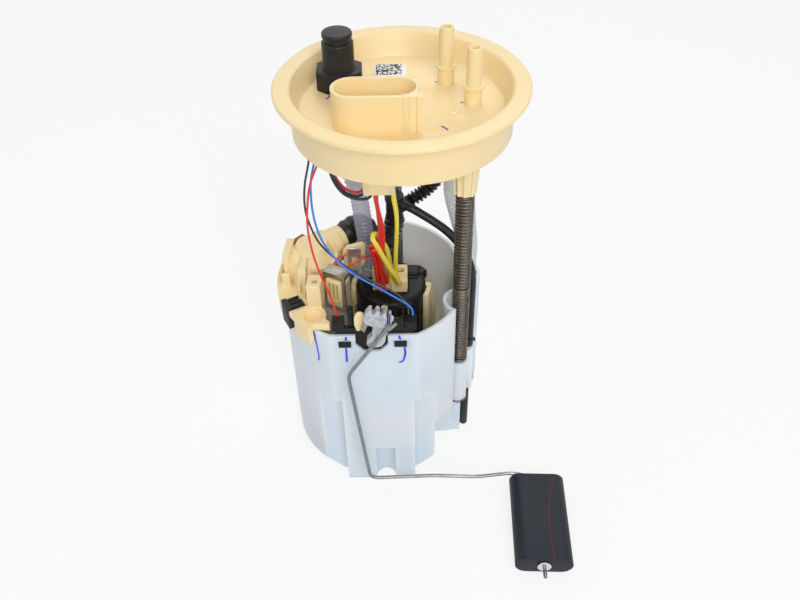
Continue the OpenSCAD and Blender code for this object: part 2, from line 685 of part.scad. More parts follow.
module impeller() {
    color("#5b4a3a") at(pump_pos, chamber_low + 0.3) difference() {
        cylinder(r = impeller_r, h = impeller_t);
        translate([0, 0, -1]) cylinder(d = shaft_d, h = 10);
        for (a = [0:20:340]) rotate([0, 0, a]) translate([impeller_r - 2, -0.7, -1]) cube([3, 1.4, 8]);
    }
}

module brushes() {
    color("#3d3d3f") for (s = [0, 180]) at(pump_pos, brush_z) rotate([0, 0, s]) block([6.05, -2, 0],
        [11.5, 2, 5]);
}

module brush_springs() {
    color("#b5a27a") for (s = [0, 180]) at(pump_pos, brush_z + 2.5) rotate([0, 0, s])
        translate([11.5, 0, 0]) rotate([0, 90, 0]) coil(3.6, 0.5, brush_end - 11.5, 4, 0, 10);
}

module check_valve() {
    color("#7c2f24") at(outlet_pos, 0) {
        translate([0, 0, cap_top - 2]) cylinder(r1 = 1.8, r2 = 2.6, h = 1.6);
        translate([0, 0, cap_top - 0.4]) cylinder(r = 2.6, h = 2.4);
        translate([0, 0, valve_z - e]) cylinder(r = 0.9, h = 3);
    }
}

module check_spring() {
    color("#b9b9b9") at(outlet_pos, valve_z + 0.02)
        coil(2 * outlet_bore - 1.4, 0.5, outlet_top - valve_z - 0.02, 9, 0, 8);
}

module outlet_elbow() {
    // The screw-on stop for the check valve's spring, then the hose tee above the outlet hose
    color("#232426") {
        at(outlet_pos, outlet_top + 0.02) difference() {
            cylinder(r = outlet_r, h = 3);
            translate([0, 0, -1]) cylinder(r = 1.4, h = 20);
        }
        translate(tee_at) difference() {
            union() {
                cylinder(r = 5, h = 14);
                translate([0, 0, 4.2]) rotate([0, 62, 10]) cylinder(r = 4.2, h = 8.2);
                translate([0, 0, 10.4]) rotate([0, 90, -40]) cylinder(r = 2.4, h = 7.2);
                translate([0, 0, 11]) cylinder(r = 5.6, h = 3);
            }
            translate([0, 0, -1]) cylinder(r = 3, h = 12);
        }
    }
}

module pump_plug() {
    z0 = cap_top + fit;
    color("#f2dfae") at(pump_pos, z0) difference() {
        union() {
            block([-11, -11, 0], [10, 0.8, 7]);
            block([-11, -3, 7 - e], [10, 0.8, 15]);
            block([-11, -9, 7 - e], [-8, -3 + e, 15]);
            block([7, -9, 7 - e], [10, -3 + e, 15]);
        }
        for (x = [-6, 3.5]) block([x, -1.8, 4], [x + 3, -0.4, 16]);
        for (x = [-2.4, 0.4]) block([x, -12, 3], [x + 1, -9, 8]);
    }
}

module holder_straps() {
    color("#efd9a5") at(pump_pos, 0) for (a = [-12, 172]) rotate([0, 0, a]) intersection() {
        translate([0, 0, holder_low - 8]) tube(holder_r + 3.2, holder_r + fit, holder_top - holder_low + 6);
        translate([0, -6, holder_low - 10]) cube([60, 12, 80]);
    }
}

module filter_bowl() {
    color("#e8ddbf") {
        at(filter_pos, bowl_low) difference() {
            cylinder(r = filter_r, h = filter_l);
            translate([0, 0, filter_wall]) cylinder(r = filter_r - filter_wall, h = filter_l);
        }
        at(filter_pos, pot_floor) cylinder(r = 6, h = bowl_low - pot_floor + e);
    }
}

module filter_element() {
    color("#d8cba6") at(filter_pos, bowl_low + filter_wall) difference() {
        cylinder(r = filter_r - filter_wall - 1, h = filter_l - 12, $fn = 96);
        translate([0, 0, -1]) cylinder(r = 6, h = 200);
        for (a = [0:15:345]) rotate([0, 0, a]) translate([filter_r - filter_wall - 4, -0.6, 2])
            cube([6, 1.2, filter_l - 16]);
    }
}

// The casing over the filter: base over the rim, dome, elbow, post and hook
module casing_elbow(r, extra) {
    v = elbow_to - elbow_from;
    translate(elbow_from) rotate([0, 0, atan2(v[1], v[0])]) rotate([0, acos(v[2] / norm(v)), 0])
        translate([0, 0, -extra / 4]) cylinder(r = r, h = norm(v) + extra);
}

module filter_casing() {
    skirt_r = pot_r + fit;
    hook_turn = 226;
    front_y = pot_pos[1] + skirt_r * sin(hook_turn) - 1;
    cup = [-51, -41.5];
    color("#f0d8a2") difference() {
        union() {
            at([0, 0], casing_z) linear_extrude(4) intersection() {
                translate(pot_pos) circle(skirt_r + 3, $fn = 128);
                union() {
                    translate([-100, front_y]) square([53, 38 - front_y]);
                    translate([-100, -12]) square([62, 42]);
                }
            }
            at([0, 0], casing_z - 9) linear_extrude(9 + e) difference() {
                intersection() {
                    translate(pot_pos) circle(skirt_r + 3, $fn = 128);
                    translate([-100, -36]) square([44, 62]);
                }
                translate(pot_pos) circle(skirt_r, $fn = 128);
            }
            at(dome_at, casing_z) cylinder(r = dome_top_r + 2, h = dome_h, $fn = 64);
            at(dome_at, casing_z + dome_h - e) cylinder(r1 = dome_top_r, r2 = dome_top_r - 4, h = 8,
                $fn = 64);
            casing_elbow(7.2, 0);
            block([-55, -33, casing_z], [-47.2, -23, casing_z + 19]);
            for (y = [-17, -8, 1]) block([-72, y, casing_z], [-66, y + 2, casing_z + 14]);
            at(cup, casing_z - 2) cylinder(r = 6.8, h = 8);
            at(pot_pos, 0) rotate([0, 0, hook_turn])
                block([skirt_r + 0.1, -6.3, casing_z - 8.6], [skirt_r + 3.6, 6.3, casing_z + 5]);
        }
        casing_elbow(5, 4);
        block([-52.6, -30, casing_z + 12], [-49.4, -27.4, casing_z + 40]);
        at(cup, casing_z + 1.5) cylinder(r = 5.4, h = 60);
        at([0, 0], casing_z - 20) linear_extrude(20) intersection() {
            translate(pot_pos) circle(skirt_r, $fn = 128);
            translate([-100, -100]) square([90, 200]);
        }
        at(pot_pos, casing_z - 1) rotate([0, 0, grommet_turn])
            block([skirt_r - 8.1, -grommet_w / 2 - fit * 2, 0], [skirt_r + 6, grommet_w / 2 + fit * 2, 10]);
        at(pot_pos, casing_z - 12) rotate([0, 0, grommet_turn])
            block([skirt_r - 1, -grommet_w / 2 - fit * 2, 0], [skirt_r + 6, grommet_w / 2 + fit * 2, 16]);
    }
}

module casing_strip() {
    color("#7a4a24") translate([dome_at[0], dome_at[1], casing_z + dome_h + 0.02]) rotate([0, 0, 48])
        block([-7, dome_top_r + 0.1, 0], [7, dome_top_r + 2.5, 3.6]);
}

module rim_grommet() {
    half = grommet_w / 2;
    color("#242426") at(pot_pos, 0) rotate([0, 0, grommet_turn]) union() {
        block([pot_r + 0.2, -half, casing_z - 10], [pot_r + 3.4, half, casing_z + 5.4]);
        block([pot_r - 7.8, -half, casing_z + 0.05], [pot_r + 0.3, half, casing_z + 3]);
        for (y = [0.12, 0.44, 0.75]) block([pot_r - 7, y * grommet_w - half, casing_z + 3 - e],
            [pot_r + 3, y * grommet_w - half + 1.4, casing_z + 5.4]);
    }
}

module regulator_body() {
    color("#c4c6c8") at(reg_pos, reg_low) {
        difference() {
            cylinder(r = 9, h = 20);
            translate([0, 0, reg_wall]) cylinder(r = 7.8, h = 16);
            translate([0, 0, -1]) cylinder(r = 2.5, h = 8);
            translate([0, 0, 10]) cylinder(r = 2, h = 20);
        }
        translate([0, 0, -8]) tube(3.4, 2.5, 8 + e);
    }
}

module regulator_valve() {
    color("#8e9296") at(reg_pos, reg_low + reg_wall) {
        cylinder(r = 3.4, h = 1.6);
        translate([0, 0, 1.6 - e]) cylinder(r = 7.6, h = 1.4);
        translate([0, 0, 3 - e]) cylinder(r = 2, h = 2.5);
    }
}

module regulator_spring() {
    color("#a8a8a8") at(reg_pos, reg_low + reg_wall + 3.02) coil(10, 1, 12.9, 6, 0, 12);
}

module bonding_frame() {
    color("#8a8074") {
        difference() {
            block([-47 + fit, -23.6, casing_z - 8], [-33, -22.2, casing_z + 19]);
            block([-44.8, -25, casing_z - 4], [-34.8, -20, casing_z + 15.4]);
        }
        block([-47 + fit, -22.2 - e, casing_z + 16], [-33, -16, casing_z + 19]);
    }
}

module vented_block() {
    color("#f0dca8") difference() {
        block([-44.6, -27, casing_z - 3.8], [-35, -22.4, casing_z + 15.2]);
        for (x = [-42.4, -39]) block([x, -28, casing_z], [x + 1.6, -24.4, casing_z + 11]);
    }
}

module bonding_clip() {
    color("#c5c8cc") difference() {
        union() {
            block([-33, -2, casing_z + 3.9], [-25.5, -1.2, casing_z + 20]);
            block([-33, -1.2 - e, casing_z + 16], [-25.5, 3, casing_z + 16.8]);
            block([-34.6, -2, casing_z + 4], [-33 + e, 1, casing_z + 4.8]);
        }
        block([-31, -3, casing_z + 7], [-27.5, 0, casing_z + 14]);
    }
}

module sender_bracket() {
    y0 = bracket_y;
    color("#1f2022") difference() {
        union() {
            block([-39, y0, rim_z - 14], [4.5, y0 + 3, rim_z + 4]);
            for (x = window_x) block([x + fit, -pot_front - 0.4, rim_z - 8.4],
                [x + window_w - fit, y0 + e, rim_z - 4.1]);
            block([-27, y0, rim_z + 4 - e], [-1, y0 + 3, rim_z + 19]);
            block([-40.5, y0, rim_z + 2], [-34, y0 + 6.5, rim_z + 8]);
            block([-0.5, y0, rim_z + 2], [6, y0 + 6.5, rim_z + 8]);
        }
        block([-25.1, y0 + 1, rim_z - 4.1], [-2.9, y0 + 6, rim_z + 17.1]);
    }
    color("#1f2022") translate([pivot[0], y0 + 1.02, pivot[1]]) rotate([90, 0, 0]) cylinder(r = pin_r, h = 8);
}

module sender_card() {
    color("#9fa3a6") block([-25, bracket_y + 1.05, rim_z - 4], [-3, bracket_y + 2, rim_z + 17]);
}

module wiper_lever() {
    thick = lever_back - lever_face;
    color("#f4f6f8") translate([pivot[0], lever_back, pivot[1]]) difference() {
        rotate([90, 0, 0]) {
            cylinder(r = 6, h = thick);
            translate([0, 0, 0.2]) linear_extrude(thick - 0.4)
                polygon([[-9, -8], [-7, -11.6], [-3, -12], [9, 9], [8, 14], [4, 16], [0, 14.5]]);
        }
        translate([0, 50, 0]) rotate([90, 0, 0]) cylinder(r = pin_r + rod_gap, h = 100);
    }
}

module wiper_springs() {
    color("#c9cbc8") for (x = [pivot[0] - 7.5, pivot[0] + 5.5])
        block([x, lever_back + e, pivot[1] + 1], [x + 2, lever_back + 0.35, pivot[1] + 6.5]);
}

module arm_run(a, b) {
    v = b - a;
    translate(a) rotate([0, atan2(v[0], v[2]), 0]) cylinder(r = wire_r, h = norm(v), $fn = 24);
}

function arm_point(i) = [arm_xz[i][0], arm_y, arm_xz[i][1]];

module float_arm() {
    color("#9da0a2") {
        for (i = [0:arm_end - 1]) arm_run(arm_point(i), arm_point(i + 1));
        for (i = [1:arm_end]) translate(arm_point(i)) sphere(r = wire_r * 1.06, $fn = 24);
        translate(arm_point(arm_end)) rotate([0, 0, float_turn]) rotate([90, 0, 0])
            cylinder(r = wire_r, h = float_gap + float_l + 8, $fn = 24);
    }
}

module arm_washer() {
    color("#c4c6c8") translate(arm_point(arm_end)) rotate([0, 0, float_turn]) rotate([90, 0, 0])
        translate([0, 0, float_gap + float_l + gap]) tube(4.1, wire_r, 1);
}

module float() {
    r = float_t / 2;
    flat = float_w / 2 - r;
    color("#1d1e20") translate(arm_point(arm_end)) rotate([0, 0, float_turn]) rotate([90, 0, 0])
        translate([0, 0, float_gap]) difference() {
            linear_extrude(float_l) union() {
                translate([-flat, 0]) circle(r, $fn = 48);
                translate([flat, 0]) circle(r, $fn = 48);
                square([2 * flat, 2 * r], center = true);
            }
            translate([0, 0, -1]) cylinder(r = wire_r + rod_gap, h = float_l + 2, $fn = 48);
        }
}

module tube_bracket() {
    color("#eef2f6") at(bracket_at) difference() {
        block([fit - 3.45, -7, bracket_low], [3, 5, bracket_top]);
        translate([0, 0, bracket_top - 4]) cylinder(r = 2, h = 20);
        at(tube_off, bracket_low - 12) cylinder(r = 2, h = 20);
    }
}

module tube_end() {
    socket_r = 3.3;
    color("#1d1e20") at(bracket_at + tube_off, tube_low) {
        cylinder(r = tube_r, h = bracket_low - tube_low);
        sphere(r = tube_r);
    }
    color("#1d1e20") at(bracket_at, bracket_top) {
        difference() {
            cylinder(r = socket_r, h = 6);
            translate([0, 0, 5.6]) cylinder(r = drain_d / 2 + 0.05, h = 4);
        }
        translate([socket_r - 0.4, 0, 3.5]) rotate([0, 90, 0]) cylinder(r = 1.2, h = 1.6);
    }
    color("#1d1e20") at(bracket_at, bracket_low + 4) translate([3, 0, 0]) rotate([0, 90, 0])
        cylinder(r = 1.3, h = 1);
}

module loop_wires() {
    color("#161617") tube_along(loop_black_pts, loop_wire_d);
    color("#20225a") tube_along(loop_blue_pts, loop_wire_d);
    color("#cf2a22") tube_along(loop_red_pts, loop_wire_d);
}

module sender_wires() {
    color("#1b1b1c") tube_along(thin_black_pts, sender_wire_d);
    color("#2b6fd6") tube_along(thin_blue_pts, sender_wire_d);
    color("#cf2a22") tube_along(thin_red_pts, sender_wire_d);
}

module power_wires() {
    color("#d8281f") tube_along(thick_red_pts, power_wire_d);
    color("#d8281f") tube_along(red_loop_pts, power_wire_d);
    color("#f4dc3a") tube_along(thick_yellow_pts, power_wire_d);
    color("#f4dc3a") tube_along(yellow_loop_pts, power_wire_d);
    color("#cf2a22") tube_along(clip_wire_pts, clip_wire_d);
}

module supply_hose() { color("#1d1d1f") tube_along(branch_pts, branch_d, 10); }

module pot_hoses() {
    color("#1d1d1f") {
        tube_along(supply_pts, supply_d, 10);
        tube_along(banded_pts, banded_d, 10);
        tube_along(drain_pts, drain_d, 10);
    }
}

module clear_hoses() {
    color("#d5dee2") {
        tube_along(return_pts, return_d, 12);
        tube_along(left_tube_pts, left_tube_d, 10);
    }
}

flange();
supply_nipple();
return_nipple();
vent_valve();
vent_cap();
terminals();
harness_plug();
guide_rods();
rod_clips();
front_spring();
rear_spring();
flange_barbs();
pot();
foot_valve();
strainer();
jet_pump();
pump_holder();
pump_case();
pump_inlet();
pump_chamber();
pump_body();
outlet_cover();
magnets();
armature();
commutator();
motor_shaft();
impeller();
brushes();
brush_springs();
check_valve();
check_spring();
outlet_elbow();
pump_plug();
holder_straps();
filter_bowl();
filter_element();
filter_casing();
casing_strip();
rim_grommet();
regulator_body();
regulator_valve();
regulator_spring();
bonding_frame();
vented_block();
bonding_clip();
sender_bracket();
sender_card();
wiper_lever();
wiper_springs();
float_arm();
arm_washer();
float();
tube_bracket();
tube_end();
power_wires();
loop_wires();
sender_wires();
supply_hose();
pot_hoses();
clear_hoses();
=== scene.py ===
import math
import random
import bpy
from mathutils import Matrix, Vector


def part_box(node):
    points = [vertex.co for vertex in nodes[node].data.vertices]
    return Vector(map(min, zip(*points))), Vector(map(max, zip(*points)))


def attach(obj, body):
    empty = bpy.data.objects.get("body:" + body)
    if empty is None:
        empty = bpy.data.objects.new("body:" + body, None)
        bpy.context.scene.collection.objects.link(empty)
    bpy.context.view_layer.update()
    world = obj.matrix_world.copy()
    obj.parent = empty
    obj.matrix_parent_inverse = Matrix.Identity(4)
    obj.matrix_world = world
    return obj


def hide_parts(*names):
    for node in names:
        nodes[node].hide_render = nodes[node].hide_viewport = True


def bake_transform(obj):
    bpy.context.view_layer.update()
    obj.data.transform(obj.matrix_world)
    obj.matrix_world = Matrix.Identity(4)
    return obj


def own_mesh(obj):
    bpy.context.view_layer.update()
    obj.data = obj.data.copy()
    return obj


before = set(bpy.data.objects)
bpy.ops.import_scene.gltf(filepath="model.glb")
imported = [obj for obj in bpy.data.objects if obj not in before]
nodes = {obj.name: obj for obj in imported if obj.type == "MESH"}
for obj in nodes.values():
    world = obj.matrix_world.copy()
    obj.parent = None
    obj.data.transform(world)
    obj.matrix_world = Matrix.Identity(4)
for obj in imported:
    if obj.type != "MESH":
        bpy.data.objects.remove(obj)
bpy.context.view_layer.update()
mm = 0.001
fullTurn = 2 * math.pi


def at(x, y, z):
    return Vector((x, y, z)) * mm


def around(centre, reach, angle):
    return centre[0] + reach * math.cos(angle), centre[1] + reach * math.sin(angle)


def selectOnly(*pieces):
    bpy.ops.object.select_all(action="DESELECT")
    for piece in pieces:
        piece.select_set(True)
    bpy.context.view_layer.objects.active = pieces[0]


def toMode(mode):
    bpy.ops.object.mode_set(mode=mode)


def editAll(piece):
    selectOnly(piece)
    toMode("EDIT")
    bpy.ops.mesh.select_all(action="SELECT")


def settle(piece):
    selectOnly(piece)
    bpy.ops.object.transform_apply(location=True, rotation=True, scale=True)
    for name in [modifier.name for modifier in piece.modifiers]:
        bpy.ops.object.modifier_apply(modifier=name)
    return piece


def smooth(piece, angle=38):
    selectOnly(piece)
    bpy.ops.object.shade_smooth_by_angle(angle=math.radians(angle))
    return piece


# Camera, as the photograph was taken
view = {"place": (0.4505, -388.707, 204.846), "turn": (48.073, 1.0055, -0.3461), "lens": 38.25,
        "sensor": 36, "near": 0.01}
bpy.ops.object.camera_add(
    location=at(*view["place"]), rotation=[math.radians(a) for a in view["turn"]]
)
camera = bpy.context.object
camera.data.lens = view["lens"]
camera.data.sensor_width = view["sensor"]
camera.data.clip_start = view["near"]
bpy.context.scene.camera = camera
print("camera ready")


# Finishes

def feed(tree, socket, value):  # from another node, or as a fixed number or colour
    if isinstance(value, bpy.types.NodeSocket):
        tree.links.new(value, socket)
    else:
        socket.default_value = (*value, 1) if isinstance(value, tuple) else value


def nodeOf(tree, kind, inputs, **settings):
    node = tree.nodes.new("ShaderNode" + kind)
    for setting, value in settings.items():
        setattr(node, setting, value)
    for socket, value in inputs.items():
        feed(tree, node.inputs[socket], value)
    return node


def newFinish(name, look):
    finish = bpy.data.materials.new(name)
    finish.use_nodes = True
    tree = finish.node_tree
    shader = tree.nodes["Principled BSDF"]
    for socket, value in look.get("fixed", {}).items():
        shader.inputs[socket].default_value = value
    where = nodeOf(tree, "TexCoord", {}).outputs["UV" if look.get("along") else "Object"]
    mapping = nodeOf(tree, "Mapping", {"Vector": where, "Scale": look.get("stretch", [1, 1, 1])})
    return finish, tree, shader, mapping.outputs["Vector"]


def noiseOf(tree, vector, size, detail=3, roughness=0.5):
    return nodeOf(tree, "TexNoise", {
        "Vector": vector, "Scale": 1 / (size * mm), "Detail": detail, "Roughness": roughness,
    }).outputs["Fac"]


def spreadOf(tree, value, low, high, start=0.3, end=0.7):
    return nodeOf(tree, "MapRange", {
        "Value": value, "From Min": start, "From Max": end, "To Min": low, "To Max": high,
    }).outputs["Result"]


def mixOf(tree, share, first, second):
    return nodeOf(tree, "Mix", {"Factor": share, "A": first, "B": second}, data_type="RGBA").outputs["Result"]


def bumpOf(tree, shader, height, depth):
    bump = nodeOf(tree, "Bump", {"Height": height, "Strength": 0.6, "Distance": depth * mm})
    tree.links.new(bump.outputs["Normal"], shader.inputs["Normal"])


# mask for a painted light patch: full share at its centre, fading out over its size
def paintedLightMaskOf(tree, vector, centre, size, share):
    distance = nodeOf(tree, "VectorMath", {0: vector, 1: at(*centre)}, operation="DISTANCE")
    return spreadOf(tree, distance.outputs["Value"], share, 0, start=0, end=size * mm)


def makeFinish(name, look):
    finish, tree, shader, vector = newFinish(name, look)
    cloud = spreadOf(tree, noiseOf(tree, vector, look["cloud"]), 0, 1)
    colour = mixOf(tree, cloud, look["colour"], look["tint"])
    # painted light: warm painted glow and blue painted shade blended in around given points on the pot's wall
    for centre, size, share, paintedLightTone in look.get("paintedLightPatches", ()):
        colour = mixOf(tree, paintedLightMaskOf(tree, vector, centre, size, share), colour, paintedLightTone)
    if "speck" in look:
        noise = noiseOf(tree, vector, look["speckSize"], detail=2)
        speck = spreadOf(tree, noise, 0, look["speckShare"], start=0.66, end=0.7)
        colour = mixOf(tree, speck, colour, look["speck"])
    tree.links.new(colour, shader.inputs["Base Color"])
    grain = noiseOf(tree, vector, look["grain"], detail=4, roughness=0.6)
    tree.links.new(spreadOf(tree, grain, *look["rough"]), shader.inputs["Roughness"])
    bumpOf(tree, shader, grain, look["depth"])
    if "Alpha" in look["fixed"]:
        finish.blend_method = "HASHED"
    return finish


creamLook = {
    "colour": (0.93, 0.735, 0.4), "tint": (0.95, 0.775, 0.45), "cloud": 30, "rough": (0.3, 0.4),
    "grain": 0.7, "depth": 0.02, "speck": (0.72, 0.5, 0.24), "speckSize": 1.1, "speckShare": 0.12,
    "fixed": {"Subsurface Weight": 0.25, "Subsurface Radius": (1.0, 0.55, 0.18), "Subsurface Scale": 0.003},
}
blackLook = {
    "colour": (0.012, 0.012, 0.014), "tint": (0.022, 0.021, 0.022), "cloud": 18, "rough": (0.3, 0.46),
    "grain": 0.5, "depth": 0.02, "speck": (0.07, 0.07, 0.07), "speckSize": 0.8, "speckShare": 0.3,
    "fixed": {"Specular IOR Level": 0.25},
}
hoseLook = {
    "colour": (0.008, 0.008, 0.009), "tint": (0.02, 0.02, 0.021), "cloud": 9, "rough": (0.26, 0.42),
    "grain": 0.6, "depth": 0.03, "fixed": {"Specular IOR Level": 0.35},
}
floatLook = {
    "colour": (0.007, 0.01, 0.017), "tint": (0.012, 0.016, 0.025), "cloud": 12, "rough": (0.42, 0.56),
    "grain": 0.35, "depth": 0.03, "stretch": [1, 0.25, 1], "speck": (0.05, 0.055, 0.065), "speckSize": 0.6,
    "speckShare": 0.35, "fixed": {"Specular IOR Level": 0.3},
}
steelLook = {
    "colour": (0.2, 0.21, 0.215), "tint": (0.32, 0.33, 0.335), "cloud": 3, "rough": (0.24, 0.4),
    "grain": 0.25, "depth": 0.008, "fixed": {"Metallic": 1.0},
}
springLook = {
    "colour": (0.12, 0.098, 0.075), "tint": (0.2, 0.168, 0.13), "cloud": 5, "rough": (0.26, 0.42),
    "grain": 0.3, "depth": 0.01, "speck": (0.1, 0.08, 0.06), "speckSize": 0.7, "speckShare": 0.5,
    "fixed": {"Metallic": 1.0},
}
rubberLook = {
    "colour": (0.014, 0.014, 0.015), "tint": (0.026, 0.026, 0.027), "cloud": 8, "rough": (0.5, 0.66),
    "grain": 0.3, "depth": 0.03, "fixed": {"Specular IOR Level": 0.35},
}
leverLook = {
    "colour": (0.36, 0.385, 0.44), "tint": (0.6, 0.625, 0.675), "cloud": 3, "rough": (0.25, 0.36),
    "grain": 0.4, "depth": 0.01, "fixed": {"Subsurface Weight": 0.1, "Subsurface Scale": 0.001},
}
clearLook = {
    "colour": (0.7, 0.76, 0.78), "tint": (0.78, 0.83, 0.84), "cloud": 10, "rough": (0.16, 0.28),
    "grain": 0.6, "depth": 0.02, "fixed": {"Alpha": 0.62, "Transmission Weight": 0.2},
}

# Painted light on the pot's plastic: soft warm patches of painted glow and bluer patches of painted shade,
# where the parts behind its wall would show through
paintedGlowPatch, paintedShadePatch = (34, 0.7, (0.97, 0.92, 0.94)), (40, 0.55, (0.68, 0.82, 1.0))
potLook = {
    "colour": (0.8, 0.905, 1.0), "tint": (0.88, 0.945, 1.0), "cloud": 34, "rough": (0.27, 0.36),
    "grain": 0.8, "depth": 0.02,
    "paintedLightPatches": [((-14, -48, -196), *paintedGlowPatch), ((24, -40, -196), *paintedGlowPatch), ((-60, -20, -150), *paintedGlowPatch),
                ((-6, -50, -156), *paintedShadePatch), ((30, 2, -150), *paintedShadePatch)],
    "fixed": {"Subsurface Weight": 0.7, "Subsurface Radius": (1.0, 0.75, 0.5), "Subsurface Scale": 0.009},
}


def relook(look, **changes):
    return {**look, **changes}


def metal(colour, tint, rough=(0.24, 0.4)):
    return relook(steelLook, colour=colour, tint=tint, rough=rough)


def plastic(colour, tint, rough=(0.34, 0.46)):
    return relook(blackLook, colour=colour, tint=tint, rough=rough, speckShare=0.0)


looks = {
    "creamResin": creamLook,
    "blackNylon": blackLook,
    "blackHose": hoseLook,
    "floatFoam": floatLook,
    "wireSteel": steelLook,
    "springSteel": springLook,
    "rodSteel": relook(steelLook, stretch=[1, 1, 0.1]),
    "caseSteel": relook(steelLook, cloud=14, stretch=[1, 1, 0.15]),
    "clipSteel": metal((0.12, 0.12, 0.13), (0.2, 0.2, 0.21)),
    "brightClip": metal((0.66, 0.67, 0.68), (0.78, 0.79, 0.8)),
    "bronzeFrame": metal((0.34, 0.3, 0.26), (0.46, 0.42, 0.37)),
    "castMetal": metal((0.62, 0.63, 0.64), (0.72, 0.73, 0.74), (0.35, 0.5)),
    "pinBrass": metal((0.7, 0.5, 0.22), (0.8, 0.6, 0.3)),
    "windingCopper": metal((0.62, 0.3, 0.16), (0.72, 0.38, 0.22)),
    "magnetGrey": plastic((0.05, 0.05, 0.052), (0.08, 0.08, 0.082), (0.5, 0.65)),
    "brushCarbon": plastic((0.03, 0.03, 0.032), (0.05, 0.05, 0.052), (0.5, 0.6)),
    "impellerResin": plastic((0.16, 0.11, 0.07), (0.2, 0.14, 0.09)),
    "blackRubber": rubberLook,
    "leverWhite": leverLook,
    "stripBrown": plastic((0.22, 0.11, 0.045), (0.3, 0.16, 0.07)),
    "cardGrey": plastic((0.3, 0.32, 0.33), (0.38, 0.4, 0.41)),
    "filterShell": relook(creamLook, colour=(0.74, 0.66, 0.48), tint=(0.8, 0.72, 0.55)),
    "filterPaper": plastic((0.62, 0.52, 0.33), (0.7, 0.6, 0.4), (0.7, 0.8)),
    "strainerCloth": plastic((0.7, 0.66, 0.55), (0.78, 0.74, 0.64), (0.6, 0.75)),
    "penInk": plastic((0.045, 0.02, 0.4), (0.07, 0.04, 0.52), (0.4, 0.5)),
    "penBlue": plastic((0.045, 0.045, 0.72), (0.085, 0.085, 0.82), (0.4, 0.5)),
    "redLine": plastic((0.09, 0.015, 0.018), (0.12, 0.02, 0.022), (0.4, 0.5)),
    # pale glossy cream of the weld beads: the bead is shape, its paleness a painted highlight
    "paintedHighlightWeld": relook(creamLook, colour=(0.96, 0.88, 0.68), tint=(0.97, 0.92, 0.78), grain=0.25, depth=0.12,
                       rough=(0.12, 0.3)),
    # painted shade: a darker copy of the black nylon, for the sender bracket and the pump holder
    "darkNylon": relook(blackLook, colour=(0.006, 0.006, 0.007), tint=(0.011, 0.011, 0.012)),
    "potResin": potLook,
    "clearHose": clearLook,
    "smokyHose": relook(clearLook, colour=(0.34, 0.37, 0.48), tint=(0.45, 0.48, 0.58)),
    "labelWhite": plastic((0.86, 0.87, 0.9), (0.9, 0.91, 0.93)),
    "labelBlack": plastic((0.015, 0.015, 0.016), (0.03, 0.03, 0.03)),
}
finishes = {name: makeFinish(name, look) for name, look in looks.items()}


# Wire sheaths, marked along their own length with painted bands where the twisted strands lie: painted shade
# between the strands on the red, yellow and blue sheaths, painted highlight on the black and navy ones
def makeSheath(name, colour, dark, strands=0.8):
    finish, tree, shader, vector = newFinish(name, {"along": True})
    wave = nodeOf(tree, "TexWave", {"Vector": vector, "Scale": strands, "Distortion": 0.6},
                  bands_direction="DIAGONAL").outputs["Fac"]
    share = spreadOf(tree, wave, 0.0, 0.5, start=0.2, end=0.9)
    tree.links.new(mixOf(tree, share, colour, dark), shader.inputs["Base Color"])
    tree.links.new(spreadOf(tree, wave, 0.26, 0.36), shader.inputs["Roughness"])
    bumpOf(tree, shader, wave, 0.05)
    return finish


# second tone of each sheath: darker painted shade for red, yellow and blue, lighter painted highlight for
# black, spiral black and navy
sheaths = {
    "blackSheath": ((0.008, 0.008, 0.01), (0.03, 0.03, 0.035)),
    "spiralBlack": ((0.006, 0.006, 0.008), (0.16, 0.165, 0.18)),
    "blueSheath": ((0.03, 0.26, 0.9), (0.015, 0.12, 0.6)),
    "navySheath": ((0.012, 0.012, 0.06), (0.03, 0.03, 0.12)),
    "redSheath": ((0.86, 0.036, 0.022), (0.5, 0.014, 0.01)),
    "yellowSheath": ((0.94, 0.8, 0.09), (0.8, 0.6, 0.04), 0.5),
}
for name, tones in sheaths.items():
    finishes[name] = makeSheath(name, *tones)
print("finishes ready")


cream, black = ("creamResin", "cream_plastic"), ("blackNylon", "black_plastic")
# painted shade: the darker black nylon, used on the sender bracket and the pump holder
dark = ("darkNylon", "black_plastic")


def dress(piece, finish, slotName, body, stands=None):
    piece.data.materials.clear()
    piece.data.materials.append(finishes[finish])
    if stands:
        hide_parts(stands)
    if body:
        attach(piece, body)
    return piece


# Cords and hoses

def smoothRoute(points, spacing):  # even points along a smooth line, in metres
    line = [at(*p) for p in points]
    ends = [2 * line[0] - line[1]] + line + [2 * line[-1] - line[-2]]
    dense = []
    for i in range(1, len(ends) - 2):
        a, b, c, d = ends[i - 1:i + 3]
        for step in range(16):
            t = step / 16
            dense.append(0.5 * (2 * b + (c - a) * t + (2 * a - 5 * b + 4 * c - d) * t * t
                                + (3 * b - a - 3 * c + d) * t ** 3))
    dense.append(ends[-2])
    reach = [0.0]
    for first, second in zip(dense, dense[1:]):
        reach.append(reach[-1] + (second - first).length)
    count = max(4, round(reach[-1] / (spacing * mm)))
    route, i = [], 0
    for step in range(count + 1):
        goal = reach[-1] * step / count
        while i < len(reach) - 2 and reach[i + 1] < goal:
            i += 1
        share = (goal - reach[i]) / (reach[i + 1] - reach[i])
        route.append(dense[i].lerp(dense[i + 1], min(1, share)))
    return route, reach[-1]


def newPiece(name, spots, faces):
    mesh = bpy.data.meshes.new(name)
    mesh.from_pydata(spots, [], faces)
    piece = bpy.data.objects.new(name, mesh)
    bpy.context.scene.collection.objects.link(piece)
    return piece


